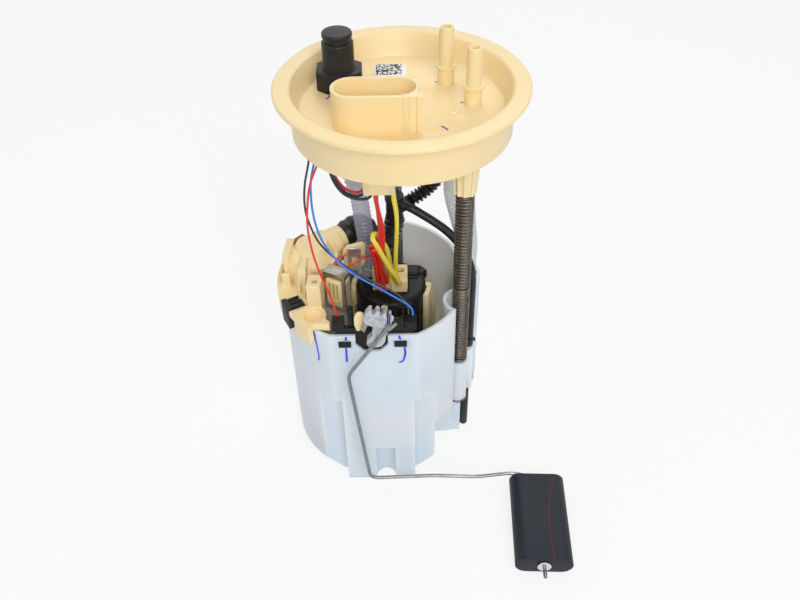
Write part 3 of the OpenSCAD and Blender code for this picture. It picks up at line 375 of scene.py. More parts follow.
def sweep(name, route, radiusAt, sides):  # a closed tube, its rings square to the route
    spots, faces, last = [], [], len(route) - 1
    side = (route[1] - route[0]).orthogonal().normalized()
    for i, point in enumerate(route):
        ahead = (route[min(i + 1, last)] - route[max(i - 1, 0)]).normalized()
        side = (side - side.dot(ahead) * ahead).normalized()
        other = ahead.cross(side)
        share = i / last
        for k in range(sides):
            angle = fullTurn * k / sides
            reach = radiusAt(share, angle) * mm
            spots.append(point + reach * (math.cos(angle) * side + math.sin(angle) * other))
    for i in range(last):
        for k in range(sides):
            n = (k + 1) % sides
            faces.append([i * sides + k, i * sides + n, (i + 1) * sides + n, (i + 1) * sides + k])
    faces.append(list(range(sides))[::-1])
    faces.append([last * sides + k for k in range(sides)])
    piece = newPiece(name, spots, faces)
    mesh = piece.data
    layer = mesh.uv_layers.new(name="alongHose")
    for face in mesh.polygons:
        for loop, corner in zip(face.loop_indices, face.vertices):
            ring, k = divmod(corner, sides)
            if k == 0 and any(mesh.loops[n].vertex_index % sides == sides - 1 for n in face.loop_indices):
                k = sides
            layer.data[loop].uv = (ring * 0.5, k / sides * 4)
    return smooth(piece, 60)


def plain(radius):
    return lambda share, angle: radius


def rib(ribs, share):  # a wave with flattened crests, from -1 to 1
    return max(-1, min(1, 1.6 * math.cos(fullTurn * ribs * share)))


def corrugated(radius, depth, ribs, cuff=0.04):
    def radiusAt(share, angle):
        flat = 1 if min(share, 1 - share) > cuff else 0.25
        return radius - depth / 2 + flat * depth / 2 * rib(ribs, share)
    return radiusAt


def flared(radii, depth, ribs):
    def radiusAt(share, angle):
        place = share * (len(radii) - 1)
        i = min(int(place), len(radii) - 2)
        base = radii[i] + (radii[i + 1] - radii[i]) * (place - i)
        return base - depth / 2 + depth / 2 * rib(ribs, share)
    return radiusAt


def stranded(radius, strands, turns):
    def radiusAt(share, angle):
        return radius * (0.9 + 0.1 * math.cos(strands * angle + fullTurn * turns * share))
    return radiusAt


def paired(radius, turns):  # two strands side by side
    def radiusAt(share, angle):
        return radius * max(0.56, abs(math.cos(angle + fullTurn * turns * share)))
    return radiusAt


def layCord(name, cord):
    route, length = smoothRoute(cord["points"], cord["spacing"])
    piece = sweep(name, route, cord.get("radiusAt") or plain(cord["diameter"] / 2), cord["sides"])
    dress(piece, cord["finish"], cord["slot"], None, cord.get("stands"))
    if "between" in cord:
        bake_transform(piece)
    else:
        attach(piece, cord.get("body", "pot"))


senderWire = {"diameter": 1.15, "sides": 10, "spacing": 1.2, "between": (-113, -16), "stiffness": "limp"}
loopWire = {"diameter": 1.6, "sides": 10, "spacing": 1.2, "body": "flange", "stiffness": "limp"}
red = {"finish": "redSheath", "slot": "wire_red"}
redWire = {"diameter": 2.4, "sides": 16, "spacing": 1.2, **red}
yellowWire = relook(redWire, finish="yellowSheath", slot="wire_yellow", radiusAt=stranded(1.5, 2, 0.6))
hose = {"finish": "blackHose", "slot": "hose_black", "sides": 28, "stiffness": "stiff"}
clearTube = relook(hose, finish="clearHose", slot="hose_clear")
bandedFlare = [7.7, 7.9, 7.7, 7.6, 7.2, 6.2, 5, 4.5, 4.5, 4.5]
returnFlare = [6.2, 6.8, 8.6, 9, 8.6, 7.9, 7.2, 6.6, 6.4, 6.3, 6.3, 6.3, 6.3, 6.3, 6.3, 6.3]
cords = {
    "senderWireBlack": relook(senderWire, finish="spiralBlack", slot="wire_black", points=[
        (-45, -27, -12.5), (-47, -28, -26), (-50, -29, -39), (-51, -30, -52), (-49, -31.5, -63),
        (-45, -33, -73), (-38, -34, -82), (-30, -35.5, -89), (-20, -37.5, -95), (-10, -39, -100.5),
        (-3, -40.5, -105), (1, -42.5, -109.5), (1.6, -45.5, -113.8)]),
    "senderWireBlue": relook(senderWire, finish="blueSheath", slot="wire_blue", stands="sender_wires",
                             points=[
        (-41, -29, -12.5), (-44, -30, -25), (-46.5, -31, -36), (-47, -32.5, -48), (-46, -34, -59),
        (-43.5, -35, -69), (-39, -36, -78), (-33, -37, -86), (-25, -38.5, -92.5), (-16, -40, -98),
        (-8, -41.5, -103), (0, -43.5, -107.5), (3.4, -45, -110.5), (4, -46.5, -113.8)]),
    "senderWireRed": relook(senderWire, **red, points=[
        (-38, -31, -12.5), (-42, -32, -24), (-46.8, -33.5, -36), (-49, -34.5, -48), (-49.9, -36, -60),
        (-48.8, -38, -73), (-46, -40, -86), (-42.2, -42, -98), (-39.5, -44, -107), (-37.5, -46, -113.8)]),
    "loopWireBlack": relook(loopWire, finish="blackSheath", slot="wire_black", stands="loop_wires", points=[
        (-38.6, -23, -12.5), (-38.6, -23, -24), (-37.6, -23, -33), (-35.6, -23, -41), (-32, -23, -47.6),
        (-27.5, -23, -51), (-22.4, -23, -52.3), (-18.6, -23.2, -51.6), (-16.6, -23.4, -49),
        (-16.2, -23.5, -45.2)]),
    "loopWireBlue": relook(loopWire, finish="navySheath", slot="wire_black", points=[
        (x, -20.9, z) for x, z in [(-38.6, -12.5), (-38.6, -24), (-37.6, -33), (-35.4, -41.2), (-31.8, -47.8),
                                   (-27.5, -51), (-23.4, -51.6), (-20.4, -49.4), (-19.6, -45.2)]]),
    "loopWireRed": relook(loopWire, **red, points=[
        (x, -18.8, z) for x, z in [(-38.6, -12.5), (-38.6, -24), (-37.4, -33), (-35, -41.2), (-31.2, -47.6),
                                   (-27, -50.4), (-23.4, -50.6), (-20.8, -48.6), (-20, -45.2)]]),
    "powerWireRed": relook(redWire, between=(-125, -47), radiusAt=paired(2.1, 0.8), stands="power_wires",
                           points=[
        (-14.5, -20, -45.2), (-14.5, -19, -56), (-13.5, -17.5, -66), (-12.5, -16, -77), (-12.8, -13.5, -90),
        (-13.4, -10.5, -104), (-12.8, -7.5, -114), (-11.8, -4.5, -122), (-11.8, -3, -127.2)]),
    "powerWireYellow": relook(yellowWire, between=(-125, -47), points=[
        (-5.8, -20, -45.2), (-5, -19, -56), (-4, -17.5, -66), (-4, -15.5, -77), (-4.6, -12.5, -90),
        (-5.2, -9.5, -103), (-5.5, -5, -118), (-5.6, -3, -127.2)]),
    "redWireLoop": relook(redWire, points=[
        (-15.2, 1.2, -128.5), (-15.8, -1.6, -119), (-17.6, -8.2, -102), (-18.9, -11.2, -94.5),
        (-18.6, -13, -91.2), (-17, -13.6, -90.8), (-15.9, -12.6, -94.5), (-14.8, -9.4, -108),
        (-13.2, -6.8, -122), (-12.6, -5.2, -129.5), (-13.8, -4.4, -132.4), (-15.6, -5, -130.2),
        (-16.2, -7.4, -120), (-17, -10.8, -106), (-17.9, -13.9, -96), (-17.2, -15.6, -92.4),
        (-15.8, -15.2, -93.4), (-14.8, -12.6, -100), (-14.2, -8.4, -112), (-13.2, -4.4, -121.5),
        (-12.5, -1, -126), (-12.4, 1.4, -128.5)]),
    "yellowWireLoop": relook(yellowWire, points=[
        (-3.4, -5.2, -127.2), (-4.6, -8, -120), (-8.2, -11.5, -110), (-11.7, -14, -99.8),
        (-15.8, -15.6, -88.5), (-17.6, -14, -85), (-16.6, -11.2, -84), (-14.2, -6.8, -90.5),
        (-10.2, -5, -100.4), (-8.6, -3.2, -114.2), (-8.4, -2.4, -127.2)]),
    "clipWire": relook(redWire, diameter=1.2, sides=10, spacing=1.0, stiffness="limp", points=[
        (-12.4, 0.2, -127.2), (-13, 0.4, -121), (-14.4, 0.2, -113), (-19.4, -1.6, -107.5), (-26, -5.5, -107),
        (-33, -8.5, -110), (-38, -9, -109.5), (-40, -7, -107.5), (-38.5, -4.6, -106), (-33.2, -2.7, -105.5)]),
    "supplyHose": relook(hose, spacing=0.4, radiusAt=corrugated(6, 1.6, 8), points=[
        (-8.5, 13, -115.3), (-8.5, 13, -111), (-7.8, 14.2, -105), (-6.4, 16.2, -99.5), (-5.5, 17, -95.5),
        (-5.5, 17, -92.1)]),
    "branchHose": relook(hose, diameter=8.6, spacing=0.4, between=(-82, -32), stands="supply_hose",
                         radiusAt=corrugated(4.3, 1.5, 25), points=[
        (2.2, 18.4, -83.6), (5.8, 19, -81.7), (10, 19.6, -79), (14.5, 20, -75), (18.5, 20.3, -70),
        (21.5, 20.5, -63), (23, 20.5, -55), (23.3, 20.5, -47), (23.3, 20.5, -38), (23.3, 20.5, -28.4)]),
    "bandedHose": relook(hose, spacing=0.5, radiusAt=flared(bandedFlare, 0.5, 9), stands="pot_hoses", points=[
        (-37.4, 16, -106.6), (-32.6, 19.4, -104.6), (-28, 22.6, -104), (-23.5, 24.5, -107), (-19.6, 24, -113),
        (-18.3, 22.8, -119.5), (-16.4, 20.9, -124.2), (-13.7, 18.2, -125.4)]),
    "drainTube": relook(hose, diameter=5, spacing=1.5, sides=20, points=[
        (0.2, 12.2, -81.6), (2.5, 10.3, -81.6), (5.4, 9.2, -82.6), (9.5, 8.4, -85), (16, 6.4, -88.6),
        (23, 4, -93), (29.5, 1, -98.6), (35, -3.2, -105.4), (38.4, -7, -113), (39.4, -8.8, -121),
        *[(39.45, -9, z) for z in (-130, -140, -150, -160, -172.3)]]),
    "returnHose": relook(clearTube, diameter=13, spacing=0.5, between=(-185, -30),
                         radiusAt=flared(returnFlare, 1.1, 58), stands="clear_hoses", points=[
        (36, -2.2, -28.4), (36, -2.2, -33), (34.8, -1.8, -40), (32.4, -0.4, -49), (31, 1.8, -59),
        (31.4, 4.6, -70), (33.4, 7.6, -84), (35.4, 11, -97), (37.2, 15.4, -108), (38.2, 19.4, -118),
        (38.3, 20.8, -128), *[(38.3, 21, z) for z in (-140, -152, -166, -178, -190)]]),
    "ventHose": relook(clearTube, finish="smokyHose", diameter=10.5, spacing=0.5, between=(-130, -20),
                       radiusAt=corrugated(5.25, 0.9, 44), points=[
        (-32.3, 19.5, -18.4), (-32.3, 19.4, -32), (-32, 18.5, -46), (-30.5, 16.5, -58), (-27.5, 13.8, -68),
        (-25.4, 12, -76), (-24.5, 10.8, -84), (-23.6, 10, -94), (-22.6, 10, -106), (-22, 11.4, -116),
        (-22, 13, -125), (-22, 13, -132.3)]),
}
for name, cord in cords.items():
    layCord(name, cord)
print("cords and hoses ready")


# Coil springs on the guide rods: open turns with a close band at mid height

spring = {"turns": 60, "coil": 10.2, "wire": 1.0, "low": -170.3, "high": -47, "endTurns": 2,
          "band": (0.41, 0.5), "closeShare": 0.5, "steps": 14, "sides": 8, "pressed": 35}


def windSpring(name, centre, node):
    count = spring["turns"] * spring["steps"]
    ends = spring["endTurns"] / spring["turns"]
    rise, climbed = 0, []
    for i in range(count + 1):
        share = i / count
        climbed.append(rise)
        close = min(share, 1 - share) < ends or spring["band"][0] < share < spring["band"][1]
        rise += spring["closeShare"] if close else 1
    wire, low, high = spring["wire"], spring["low"], spring["high"]
    route = []
    for i in range(count + 1):
        z = low + wire / 2 + (high - low - wire) * climbed[i] / climbed[-1]
        route.append(at(*around(centre, (spring["coil"] - wire) / 2, fullTurn * i / spring["steps"]), z))
    piece = sweep(name, route, plain(wire / 2), spring["sides"])
    dress(piece, "springSteel", "spring_steel", "pot", node)
    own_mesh(piece)


windSpring("frontSpring", (32, -25), "front_spring")
windSpring("rearSpring", (-6, 35), "rear_spring")
print("springs ready")


# Softened copies of the CAD pieces whose shape is right

def softened(piece, edge, segments=2):
    bevel = piece.modifiers.new("softEdges", "BEVEL")
    bevel.width = edge * mm
    bevel.segments = segments
    bevel.limit_method = "ANGLE"
    bevel.angle_limit = math.radians(32)
    return smooth(settle(piece))


soft = {"merge": 0.002, "flat": 0.4, "ledge": -236, "ledgeBand": 0.05}


def softCopy(node, name, edge=0, segments=2):
    piece = nodes[node].copy()
    piece.data = nodes[node].data.copy()
    piece.name = name
    piece.parent = None
    for key in [k for k in piece.keys() if k.startswith("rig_")]:
        del piece[key]
    bpy.context.scene.collection.objects.link(piece)
    selectOnly(piece)
    bpy.ops.mesh.customdata_custom_splitnormals_clear()
    editAll(piece)
    bpy.ops.mesh.remove_doubles(threshold=soft["merge"] * mm)
    bpy.ops.mesh.select_mode(type="FACE")
    toMode("OBJECT")
    for face in piece.data.polygons:  # a thin ring merged into one face would be filled across
        face.select = abs(face.center.z - soft["ledge"] * mm) > soft["ledgeBand"] * mm
    toMode("EDIT")
    bpy.ops.mesh.dissolve_limited(angle_limit=math.radians(soft["flat"]))
    bpy.ops.mesh.select_mode(type="VERT")
    toMode("OBJECT")
    return softened(piece, edge, segments) if edge else smooth(piece)


softPieces = {
    "flange": ("flangeBody", 0.7, 3, *cream, "flange"),
    "vent_valve": ("ventValve", 0.5, 2, *black, "flange"),
    "vent_cap": ("ventCap", 0.25, 2, *black, "flange"),
    "pot": ("potShell", 0.7, 3, "potResin", "pot_plastic", "pot"),
    "holder_straps": ("holderStraps", 0.6, 2, *cream, "pot"),
    "bonding_clip": ("bondingClip", 0.15, 2, "brightClip", "clip_metal", "pot"),
    "rim_grommet": ("rimGrommet", 0.4, 2, "blackRubber", "rubber", "pot"),
    "casing_strip": ("casingStrip", 0.3, 2, "stripBrown", "strip_brown", "pot"),
    "outlet_elbow": ("hoseTee", 0.5, 2, *black, "pot"),
    "tube_bracket": ("tubeBracket", 0.6, 3, "potResin", "pot_plastic", "pot"),
    "tube_end": ("tubeEnds", 0.3, 2, "blackHose", "black_plastic", "pot"),
    "arm_washer": ("armWasher", 0.2, 2, "brightClip", "arm_steel", "arm"),
    "float": ("floatBody", 0.9, 3, "floatFoam", "float_foam", "float"),
}
for node, (name, edge, segments, finish, slotName, body) in softPieces.items():
    dress(softCopy(node, name, edge, segments), finish, slotName, body, node)

# Drain tube's bracket and collar sit a little higher than their solids
for name in ("tubeBracket", "tubeEnds"):
    for corner in bpy.data.objects[name].data.vertices:
        corner.co += at(-0.7, 0, 4.5 if corner.co.z > -213 * mm else 0)
print("softened pieces ready")


# Simple solids, and how they are cut, joined and melted together

def ball(centre, radii):
    bpy.ops.mesh.primitive_uv_sphere_add(segments=40, ring_count=24, radius=1, location=at(*centre))
    piece = bpy.context.object
    piece.scale = [r * mm for r in radii]
    return settle(piece)


def bar(low, high, turn=0):  # turned in degrees about its own upright axis
    middle = [(a + b) / 2 for a, b in zip(low, high)]
    bpy.ops.mesh.primitive_cube_add(size=1, location=at(*middle))
    piece = bpy.context.object
    piece.scale = [(b - a) * mm for a, b in zip(low, high)]
    piece.rotation_euler.z = math.radians(turn)
    return settle(piece)


def rod(start, end, radius, endRadius=None, sides=40):
    first, last = at(*start), at(*end)
    bpy.ops.mesh.primitive_cone_add(
        vertices=sides, radius1=radius * mm, radius2=(endRadius or radius) * mm, depth=(last - first).length,
        location=(first + last) / 2, rotation=(last - first).to_track_quat("Z", "Y").to_euler())
    return settle(bpy.context.object)


def thicken(piece, travel):  # pushes a flat piece out into a solid
    editAll(piece)
    bpy.ops.mesh.extrude_region_move(TRANSFORM_OT_translate={"value": at(*travel)})
    bpy.ops.mesh.select_all(action="SELECT")
    bpy.ops.mesh.normals_make_consistent(inside=False)
    toMode("OBJECT")
    return piece


def prism(corners, travel):  # an outline drawn as a flat circle's corners, then pushed out
    bpy.ops.mesh.primitive_circle_add(vertices=len(corners), radius=mm, fill_type="NGON")
    piece = bpy.context.object
    for corner, spot in zip(piece.data.vertices, corners):
        corner.co = at(*spot)
    return thicken(piece, travel)


def slab(outline, low, high):  # outline in x and y, thickness along z
    return prism([(x, y, low) for x, y in outline], (0, 0, high - low))


def plate(name, outline, front, back, edge=0.3, segments=2):  # outline in x and z, thickness along y
    piece = softened(prism([(x, front, z) for x, z in outline], (0, back - front, 0)), edge, segments)
    return together(name, [piece])


def cut(piece, *tools):
    for tool in tools:
        trim = piece.modifiers.new("cutAway", "BOOLEAN")
        trim.operation = "DIFFERENCE"
        trim.solver = "EXACT"
        trim.object = tool
        settle(piece)
        bpy.data.objects.remove(tool, do_unlink=True)
    return piece


def together(name, parts):
    selectOnly(*parts)
    if len(parts) > 1:
        bpy.ops.object.join()
    piece = bpy.context.object
    piece.name = name
    return piece


def melt(name, parts, voxel, passes):
    piece = together(name, parts)
    remesh = piece.modifiers.new("melted", "REMESH")
    remesh.mode = "VOXEL"
    remesh.voxel_size = voxel * mm
    settle(piece)
    soften = piece.modifiers.new("softened", "SMOOTH")
    soften.factor = 0.5
    soften.iterations = passes
    return smooth(settle(piece), 60)


def turned(piece, degrees, centre):
    editAll(piece)
    bpy.ops.transform.rotate(value=math.radians(degrees), orient_axis="Z", center_override=at(*centre))
    toMode("OBJECT")
    return piece


# Filter casing: its solid melted into a smooth dome, with a cup in front and two thin fins
casing = {
    "voxel": 0.42, "passes": 4, "cutAway": ((-63, -53, -117), (-43.4, -34.7, -100)),
    "cup": [(-63, -39), (-58.4, -44.4), (-53, -48.6), (-42, -50), (-41.4, -47.4), (-44.6, -44), (-45.4, -36),
            (-56, -33)],
    "cupHeight": (-121.6, -116.9), "cupHole": ((-51, -41, -119.6), (-51, -41, -100), 6.4),
    "outerFin": [(-73.6, -13.8), (-69.6, -15), (-68, -2), (-72.6, -1)], "outerHeight": (-119, -97),
    "innerFin": [(-61.6, -26.4), (-57, -27.6), (-56.6, -12), (-60, -12)], "innerHeight": (-119, -100.5),
    "domes": [((-54, 0, -111), (14, 13.5, 12.6)), ((-57.5, -10, -117), (8.5, 9, 12)),
              ((-62.5, -3, -116), (9.4, 11, 16)), ((-46, 8.5, -113), (9, 9, 9.4))],
    "neck": ((-52, 5, -109), (-37.4, 16, -106.6), 9.6, 7.8),
    "collar": ((-43.2, 11.4, -107.5), (-40.5, 13.4, -107.1), 8.5),
    "post": ((-54.6, -35.2, -119), (-46.4, -25, -101.6), -6),
    "postHole": ((-51.8, -32.2, -106), (-49, -29.4, -90)),
    "outerSlot": ([(-72.2, -20), (-70.9, -20), (-69.4, -9), (-71, -9)], -115, -101),
    "innerSlot": ([(-60.2, -30), (-58, -30), (-57.6, -21.6), (-59.6, -21.6)], -115.5, -103),
}
casingBase = cut(softCopy("filter_casing", "casingBase"), bar(*casing["cutAway"]))
cupPlate = cut(slab(casing["cup"], *casing["cupHeight"]), rod(*casing["cupHole"]))
outerFin = slab(casing["outerFin"], *casing["outerHeight"])
for corner in outerFin.data.vertices:  # both fins lean in towards the dome
    if corner.co.z > -100 * mm:
        corner.co += at(4.2, 6.5, -0.5 if corner.co.x < -70 * mm else 1)
innerFin = slab(casing["innerFin"], *casing["innerHeight"])
for corner in innerFin.data.vertices:
    if corner.co.z > -102 * mm:
        corner.co += at(1.2, 6.2, 0)
filterCasing = melt("filterCasing", [
    casingBase, cupPlate, outerFin, innerFin, *[ball(*dome) for dome in casing["domes"]],
    rod(*casing["neck"]), rod(*casing["collar"]), bar(*casing["post"]),
], casing["voxel"], casing["passes"])
cut(filterCasing, bar(*casing["postHole"]), slab(*casing["outerSlot"]), slab(*casing["innerSlot"]))
casingLow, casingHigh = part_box("filter_casing")
for corner in filterCasing.data.vertices:  # keeps the softened skin inside the solid's box
    for axis in range(3):
        corner.co[axis] = min(max(corner.co[axis], casingLow[axis]), casingHigh[axis])
dress(smooth(filterCasing, 50), *cream, "pot", "filter_casing")
print("filter casing ready")

# Level sender's lever, its tab and its contact springs
lever = {
    "outline": [(-22.7, -105.6), (-21.4, -100.6), (-19.4, -97.8), (-17.6, -97.6), (-17.9, -100.7),
                (-17.1, -101.1), (-15.5, -98.2), (-14.3, -97.8), (-13.4, -99.1), (-13.8, -103.3),
                (-11.9, -100.4), (-10.4, -99.1), (-10, -100.9), (-10.1, -107.6), (-10.5, -114.4),
                (-11.3, -120.9), (-13, -123.9), (-15.3, -125), (-18.5, -125), (-20.6, -124.4),
                (-21.6, -122.3), (-21, -119.6), (-19, -117.4), (-17.8, -115.5), (-17.4, -109.5),
                (-20.2, -108.4)],
    "depth": (-60.2, -55.2), "edge": 0.7, "voxel": 0.3, "passes": 3,
    "ridge": ((-11.6, -59.6, -103), (-17.2, -59.6, -121), 1.9),
    "hub": ((-14, -60.6, -113), (-14, -55.2, -113), 4.2),
    "groove": ((-10.2, -62, -101), (-18.6, -62, -124.5), 1.25),
    "tab": [(-8.9, -101.4), (-7.5, -101.8), (-7.5, -111.4), (-9.6, -113), (-9.8, -108.9)],
    "tabDepth": (-58.4, -55.2),
    "finger": [(-13.5, -101.5), (-12.8, -98.4), (-11.2, -97.4), (-9.5, -98.2), (-9.1, -102.3), (-10.2, -104)],
    "fingerDepth": (-56.6, -55.4), "contactDepth": (-56.2, -55.5),
    "contacts": [[(-10.4, -115), (-5.4, -110), (-4.4, -111.6), (-8.9, -116.6)],
                 [(-22, -109), (-20.2, -111), (-22.6, -117.6), (-24.6, -114.8)]],
}
leverBody = plate("leverBody", lever["outline"], *lever["depth"], lever["edge"], 3)
wiperLever = melt("wiperLever", [leverBody, rod(*lever["ridge"]), rod(*lever["hub"])],
                  lever["voxel"], lever["passes"])
cut(wiperLever, rod(*lever["groove"], sides=20))
dress(wiperLever, "leverWhite", "lever_white", "arm", "wiper_lever")
dress(plate("leverTab", lever["tab"], *lever["tabDepth"]), "leverWhite", "lever_white", "arm")
leverFinger = plate("leverFinger", lever["finger"], *lever["fingerDepth"], 0.25)
contacts = [plate("contact", outline, *lever["contactDepth"], 0.15) for outline in lever["contacts"]]
dress(together("leverMetal", [leverFinger, *contacts]), "bronzeFrame", "frame_metal", "arm")

# Sender's bracket behind the lever, with its card, wire posts and the pale lug on its left
bracket = {
    "opening": ((-26.4, -60, -111.5), (-1.6, -40, -100)), "edge": 0.3, "postEdge": 0.6,
    "posts": [((-4.4, -43.2, -122), (3.4, -39.5, -110.4)), ((-31.6, -51, -122), (-28.8, -46, -106))],
    "card": ((-24.9, -50.95, -126), (-3.1, -50, -112)), "lugDepth": (-53.6, -52.2),
    "lug": [(-28.2, -114), (-28, -108.6), (-26.6, -105.4), (-24.4, -104.6), (-22.8, -105.6), (-22.4, -109),
            (-23.2, -114), (-25, -118.4), (-27, -118.6)],
}
bracketBase = cut(softCopy("sender_bracket", "bracketBase"), bar(*bracket["opening"]))
senderBracket = together("senderBracket", [
    softened(bracketBase, bracket["edge"]),
    *[softened(bar(*post), bracket["postEdge"], 3) for post in bracket["posts"]]])
# the bracket wears the darker black nylon, painted shade
dress(smooth(senderBracket), *dark, "pot", "sender_bracket")
senderCard = together("senderCard", [softened(bar(*bracket["card"]), 0.1)])
dress(senderCard, "cardGrey", "sender_card", "pot", "sender_card")
dress(plate("paleLug", bracket["lug"], *bracket["lugDepth"], 0.5, 3), *cream, "pot")

# Float arm: one wire with rounded bends, its end turned into the float
arm = {"radius": 1.1, "bend": 5.5, "corners": [
    (-8, -62, -106), (-33, -62, -145), (-24, -62, -240), (16, -62, -238.5), (44, -62, -240.5),
    (66, -62, -237), (81, -62, -242.5), (77.94, -131.9, -242.5)]}


def bentRoute(corners, bend, steps=10):
    spots = [at(*c) for c in corners]
    route = [spots[0]]
    for before, corner, after in zip(spots, spots[1:], spots[2:]):
        reach = min(bend * mm, (before - corner).length / 2.2, (after - corner).length / 2.2)
        first = corner + (before - corner).normalized() * reach
        last = corner + (after - corner).normalized() * reach
        for step in range(steps + 1):
            t = step / steps
            route.append(first * (1 - t) ** 2 + corner * (2 * t * (1 - t)) + last * t * t)
    return route + [spots[-1]]


floatArm = sweep("floatArm", bentRoute(arm["corners"], arm["bend"]), plain(arm["radius"]), 20)
dress(floatArm, "wireSteel", "arm_steel", "arm", "float_arm")
print("lever, bracket and arm ready")

# Plugs: the harness block under the shroud and the pump's socket, built from walls
blocks = [
    ((-20.6, -30.6, -45), (-4.2, -14.3, -30), 0.5, 3), ((-19.8, -29.6, -30.4), (-5.1, -15.3, -21.8), 0.4),
    ((-20.9, -31, -34.5), (-3.9, -30.2, -33.2), 0.2), ((-19.4, -31, -44.4), (-17.8, -30.2, -33.4), 0.2),
    ((-7, -31, -44.4), (-5.4, -30.2, -33.4), 0.2)]
harnessPlug = together("harnessPlug", [softened(bar(low, high), *edge) for low, high, *edge in blocks])
dress(harnessPlug, *cream, "flange", "harness_plug")
plug = {
    "socket": ((-19.5, -1.4, -134.6), (1.5, 4.8, -121.6)),
    "chambers": [((-16.2, -0.2, -131.4), (-0.3, 3.1, -115)), ((-15.6, -3, -130.6), (-9.2, 0.6, -115)),
                 ((-8.6, 1, -129), (-5.6, 4.2, -115)), ((-4.6, 1, -129), (-1.4, 4.2, -115))],
    "lips": [((-19.5, 3.2, -122), (1.5, 4.8, -119.7)), ((-19.5, -1.2, -122), (-16.6, 3.4, -119.9))],
    "latch": ((-8.2, -3.4, -134.6), (1.2, -1.2, -126.4)),
    "grooves": [((-5.4, -4, -131), (-4.8, -2.4, -120)), ((-4, -4, -131), (-3.4, -2.4, -120)),
                ((-2.6, -4, -131), (-2, -2.4, -120))],
}
pumpPlug = together("pumpPlug", [
    cut(bar(*plug["socket"]), *[bar(*chamber) for chamber in plug["chambers"]]),
    *[softened(bar(*lip), 0.3) for lip in plug["lips"]],
    cut(bar(*plug["latch"]), *[bar(*groove) for groove in plug["grooves"]])])
dress(smooth(pumpPlug, 30), *cream, "pot", "pump_plug")

# Pump holder: rounded shoulder, raised blocks, a collar and ribs
holder = {
    "axis": (-8.5, 4), "rim": 20.6, "round": 3.4, "voxel": 0.5, "passes": 3,
    "blocks": [((-2, 8, -133.6), (8.5, 17, -129.6)), ((4, 10, -138), (12.6, 17.6, -131.6), 40)],
    "collar": 21.9, "collarHeight": (-150, -147.6), "ribs": (248, 262, 282, 300, 318),
    "ribSize": (1.1, 1.6), "ribHeight": (-162, -139),
    "strap": [(12.3, -133.9), (15, -134.2), (17.4, -142.6), (18.9, -152.2), (18.8, -163.1), (16.9, -174.3),
              (12.6, -174.3)], "strapDepth": (2.4, 5.4),
}
holderBody = softCopy("pump_holder", "holderBody")
editAll(holderBody)
bpy.ops.mesh.select_mode(type="EDGE")
bpy.ops.mesh.select_all(action="DESELECT")
toMode("OBJECT")
holderAxis, holderTop = at(*holder["axis"], 0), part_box("pump_holder")[1][2]
for edge in holderBody.data.edges:
    ends = [holderBody.data.vertices[i].co for i in edge.vertices]
    edge.select = all(e.z > holderTop - 0.1 * mm and (e - holderAxis).xy.length > holder["rim"] * mm
                      for e in ends)
toMode("EDIT")
bpy.ops.mesh.bevel(offset=holder["round"] * mm, segments=6, affect="EDGES")
toMode("OBJECT")
holderParts = [holderBody] + [softened(bar(*block), 1.2, 4) for block in holder["blocks"]]
low, high = [(*holder["axis"], z) for z in holder["collarHeight"]]
holderParts.append(softened(rod(low, high, holder["collar"], sides=96), 0.5))
for turn in holder["ribs"]:
    x, y = around(holder["axis"], holder["rim"], math.radians(turn))
    (wide, deep), (foot, top) = holder["ribSize"], holder["ribHeight"]
    holderParts.append(softened(bar((x - wide, y - deep, foot), (x + wide, y + deep, top), turn - 90), 0.5))
# the holder wears the darker black nylon, painted shade
dress(melt("pumpHolder", holderParts, holder["voxel"], holder["passes"]), *dark, "pot", "pump_holder")
dress(plate("sideStrap", holder["strap"], *holder["strapDepth"], 0.6, 3), *cream, "pot")

# Springs behind the valves, softened copies of their solids
for node, name, joint in (("check_spring", "checkSpring", "check_valve_lift"),
                          ("regulator_spring", "regulatorSpring", "regulator_valve_lift")):
    valveSpring = dress(softCopy(node, name), "springSteel", "spring_steel", "pot", node)
    low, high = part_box(node)
    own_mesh(valveSpring)
print("pump's plastic ready")

# Bonding frame and vented block, turned towards the casing, and the clip's plate
bond = {
    "turn": 28, "centre": (-39.8, -22.6, 0), "block": ((-44.6, -25.2, -125.8), (-35, -20.4, -106.8)),
    "vents": (-43, -40.5, -38), "ventWidth": 1.5, "plateDepth": (0.4, 2.2),
    "plate": [(-35.6, -119), (-36.2, -105.4), (-33.8, -102.2), (-24.6, -99.4), (-22.8, -101), (-23.4, -114),
              (-26, -119)],
}
ventedBlock = cut(softened(bar(*bond["block"]), 0.7, 3), *[
    bar((x, -26.4, -121.4), (x + bond["ventWidth"], -22.8, -109)) for x in bond["vents"]])
turned(smooth(together("ventedBlock", [ventedBlock])), bond["turn"], bond["centre"])
dress(ventedBlock, *cream, "pot", "vented_block")
bondingFrame = turned(softCopy("bonding_frame", "bondingFrame", 0.25), bond["turn"], bond["centre"])
dress(bondingFrame, "bronzeFrame", "frame_metal", "pot", "bonding_frame")
dress(plate("clipPlate", bond["plate"], *bond["plateDepth"], 0.5, 3), *cream, "pot")
print("bonding pieces ready")


# Pen strokes and thin marks lying on a surface

strokeThinness = 0.12


def stroke(name, points, width, normal, finish, body, slotName="pen_ink"):
    route, _ = smoothRoute(points, 0.5)
    piece = sweep(name, route, plain(width / 2), 10)
    flat = Vector(normal).normalized()
    middle = [min(range(len(route)), key=lambda i: (route[i] - v.co).length) for v in piece.data.vertices]
    for corner, i in zip(piece.data.vertices, middle):
        off = (corner.co - route[i]).dot(flat)
        corner.co -= off * (1 - strokeThinness) * flat
    dress(piece, finish, slotName, body)


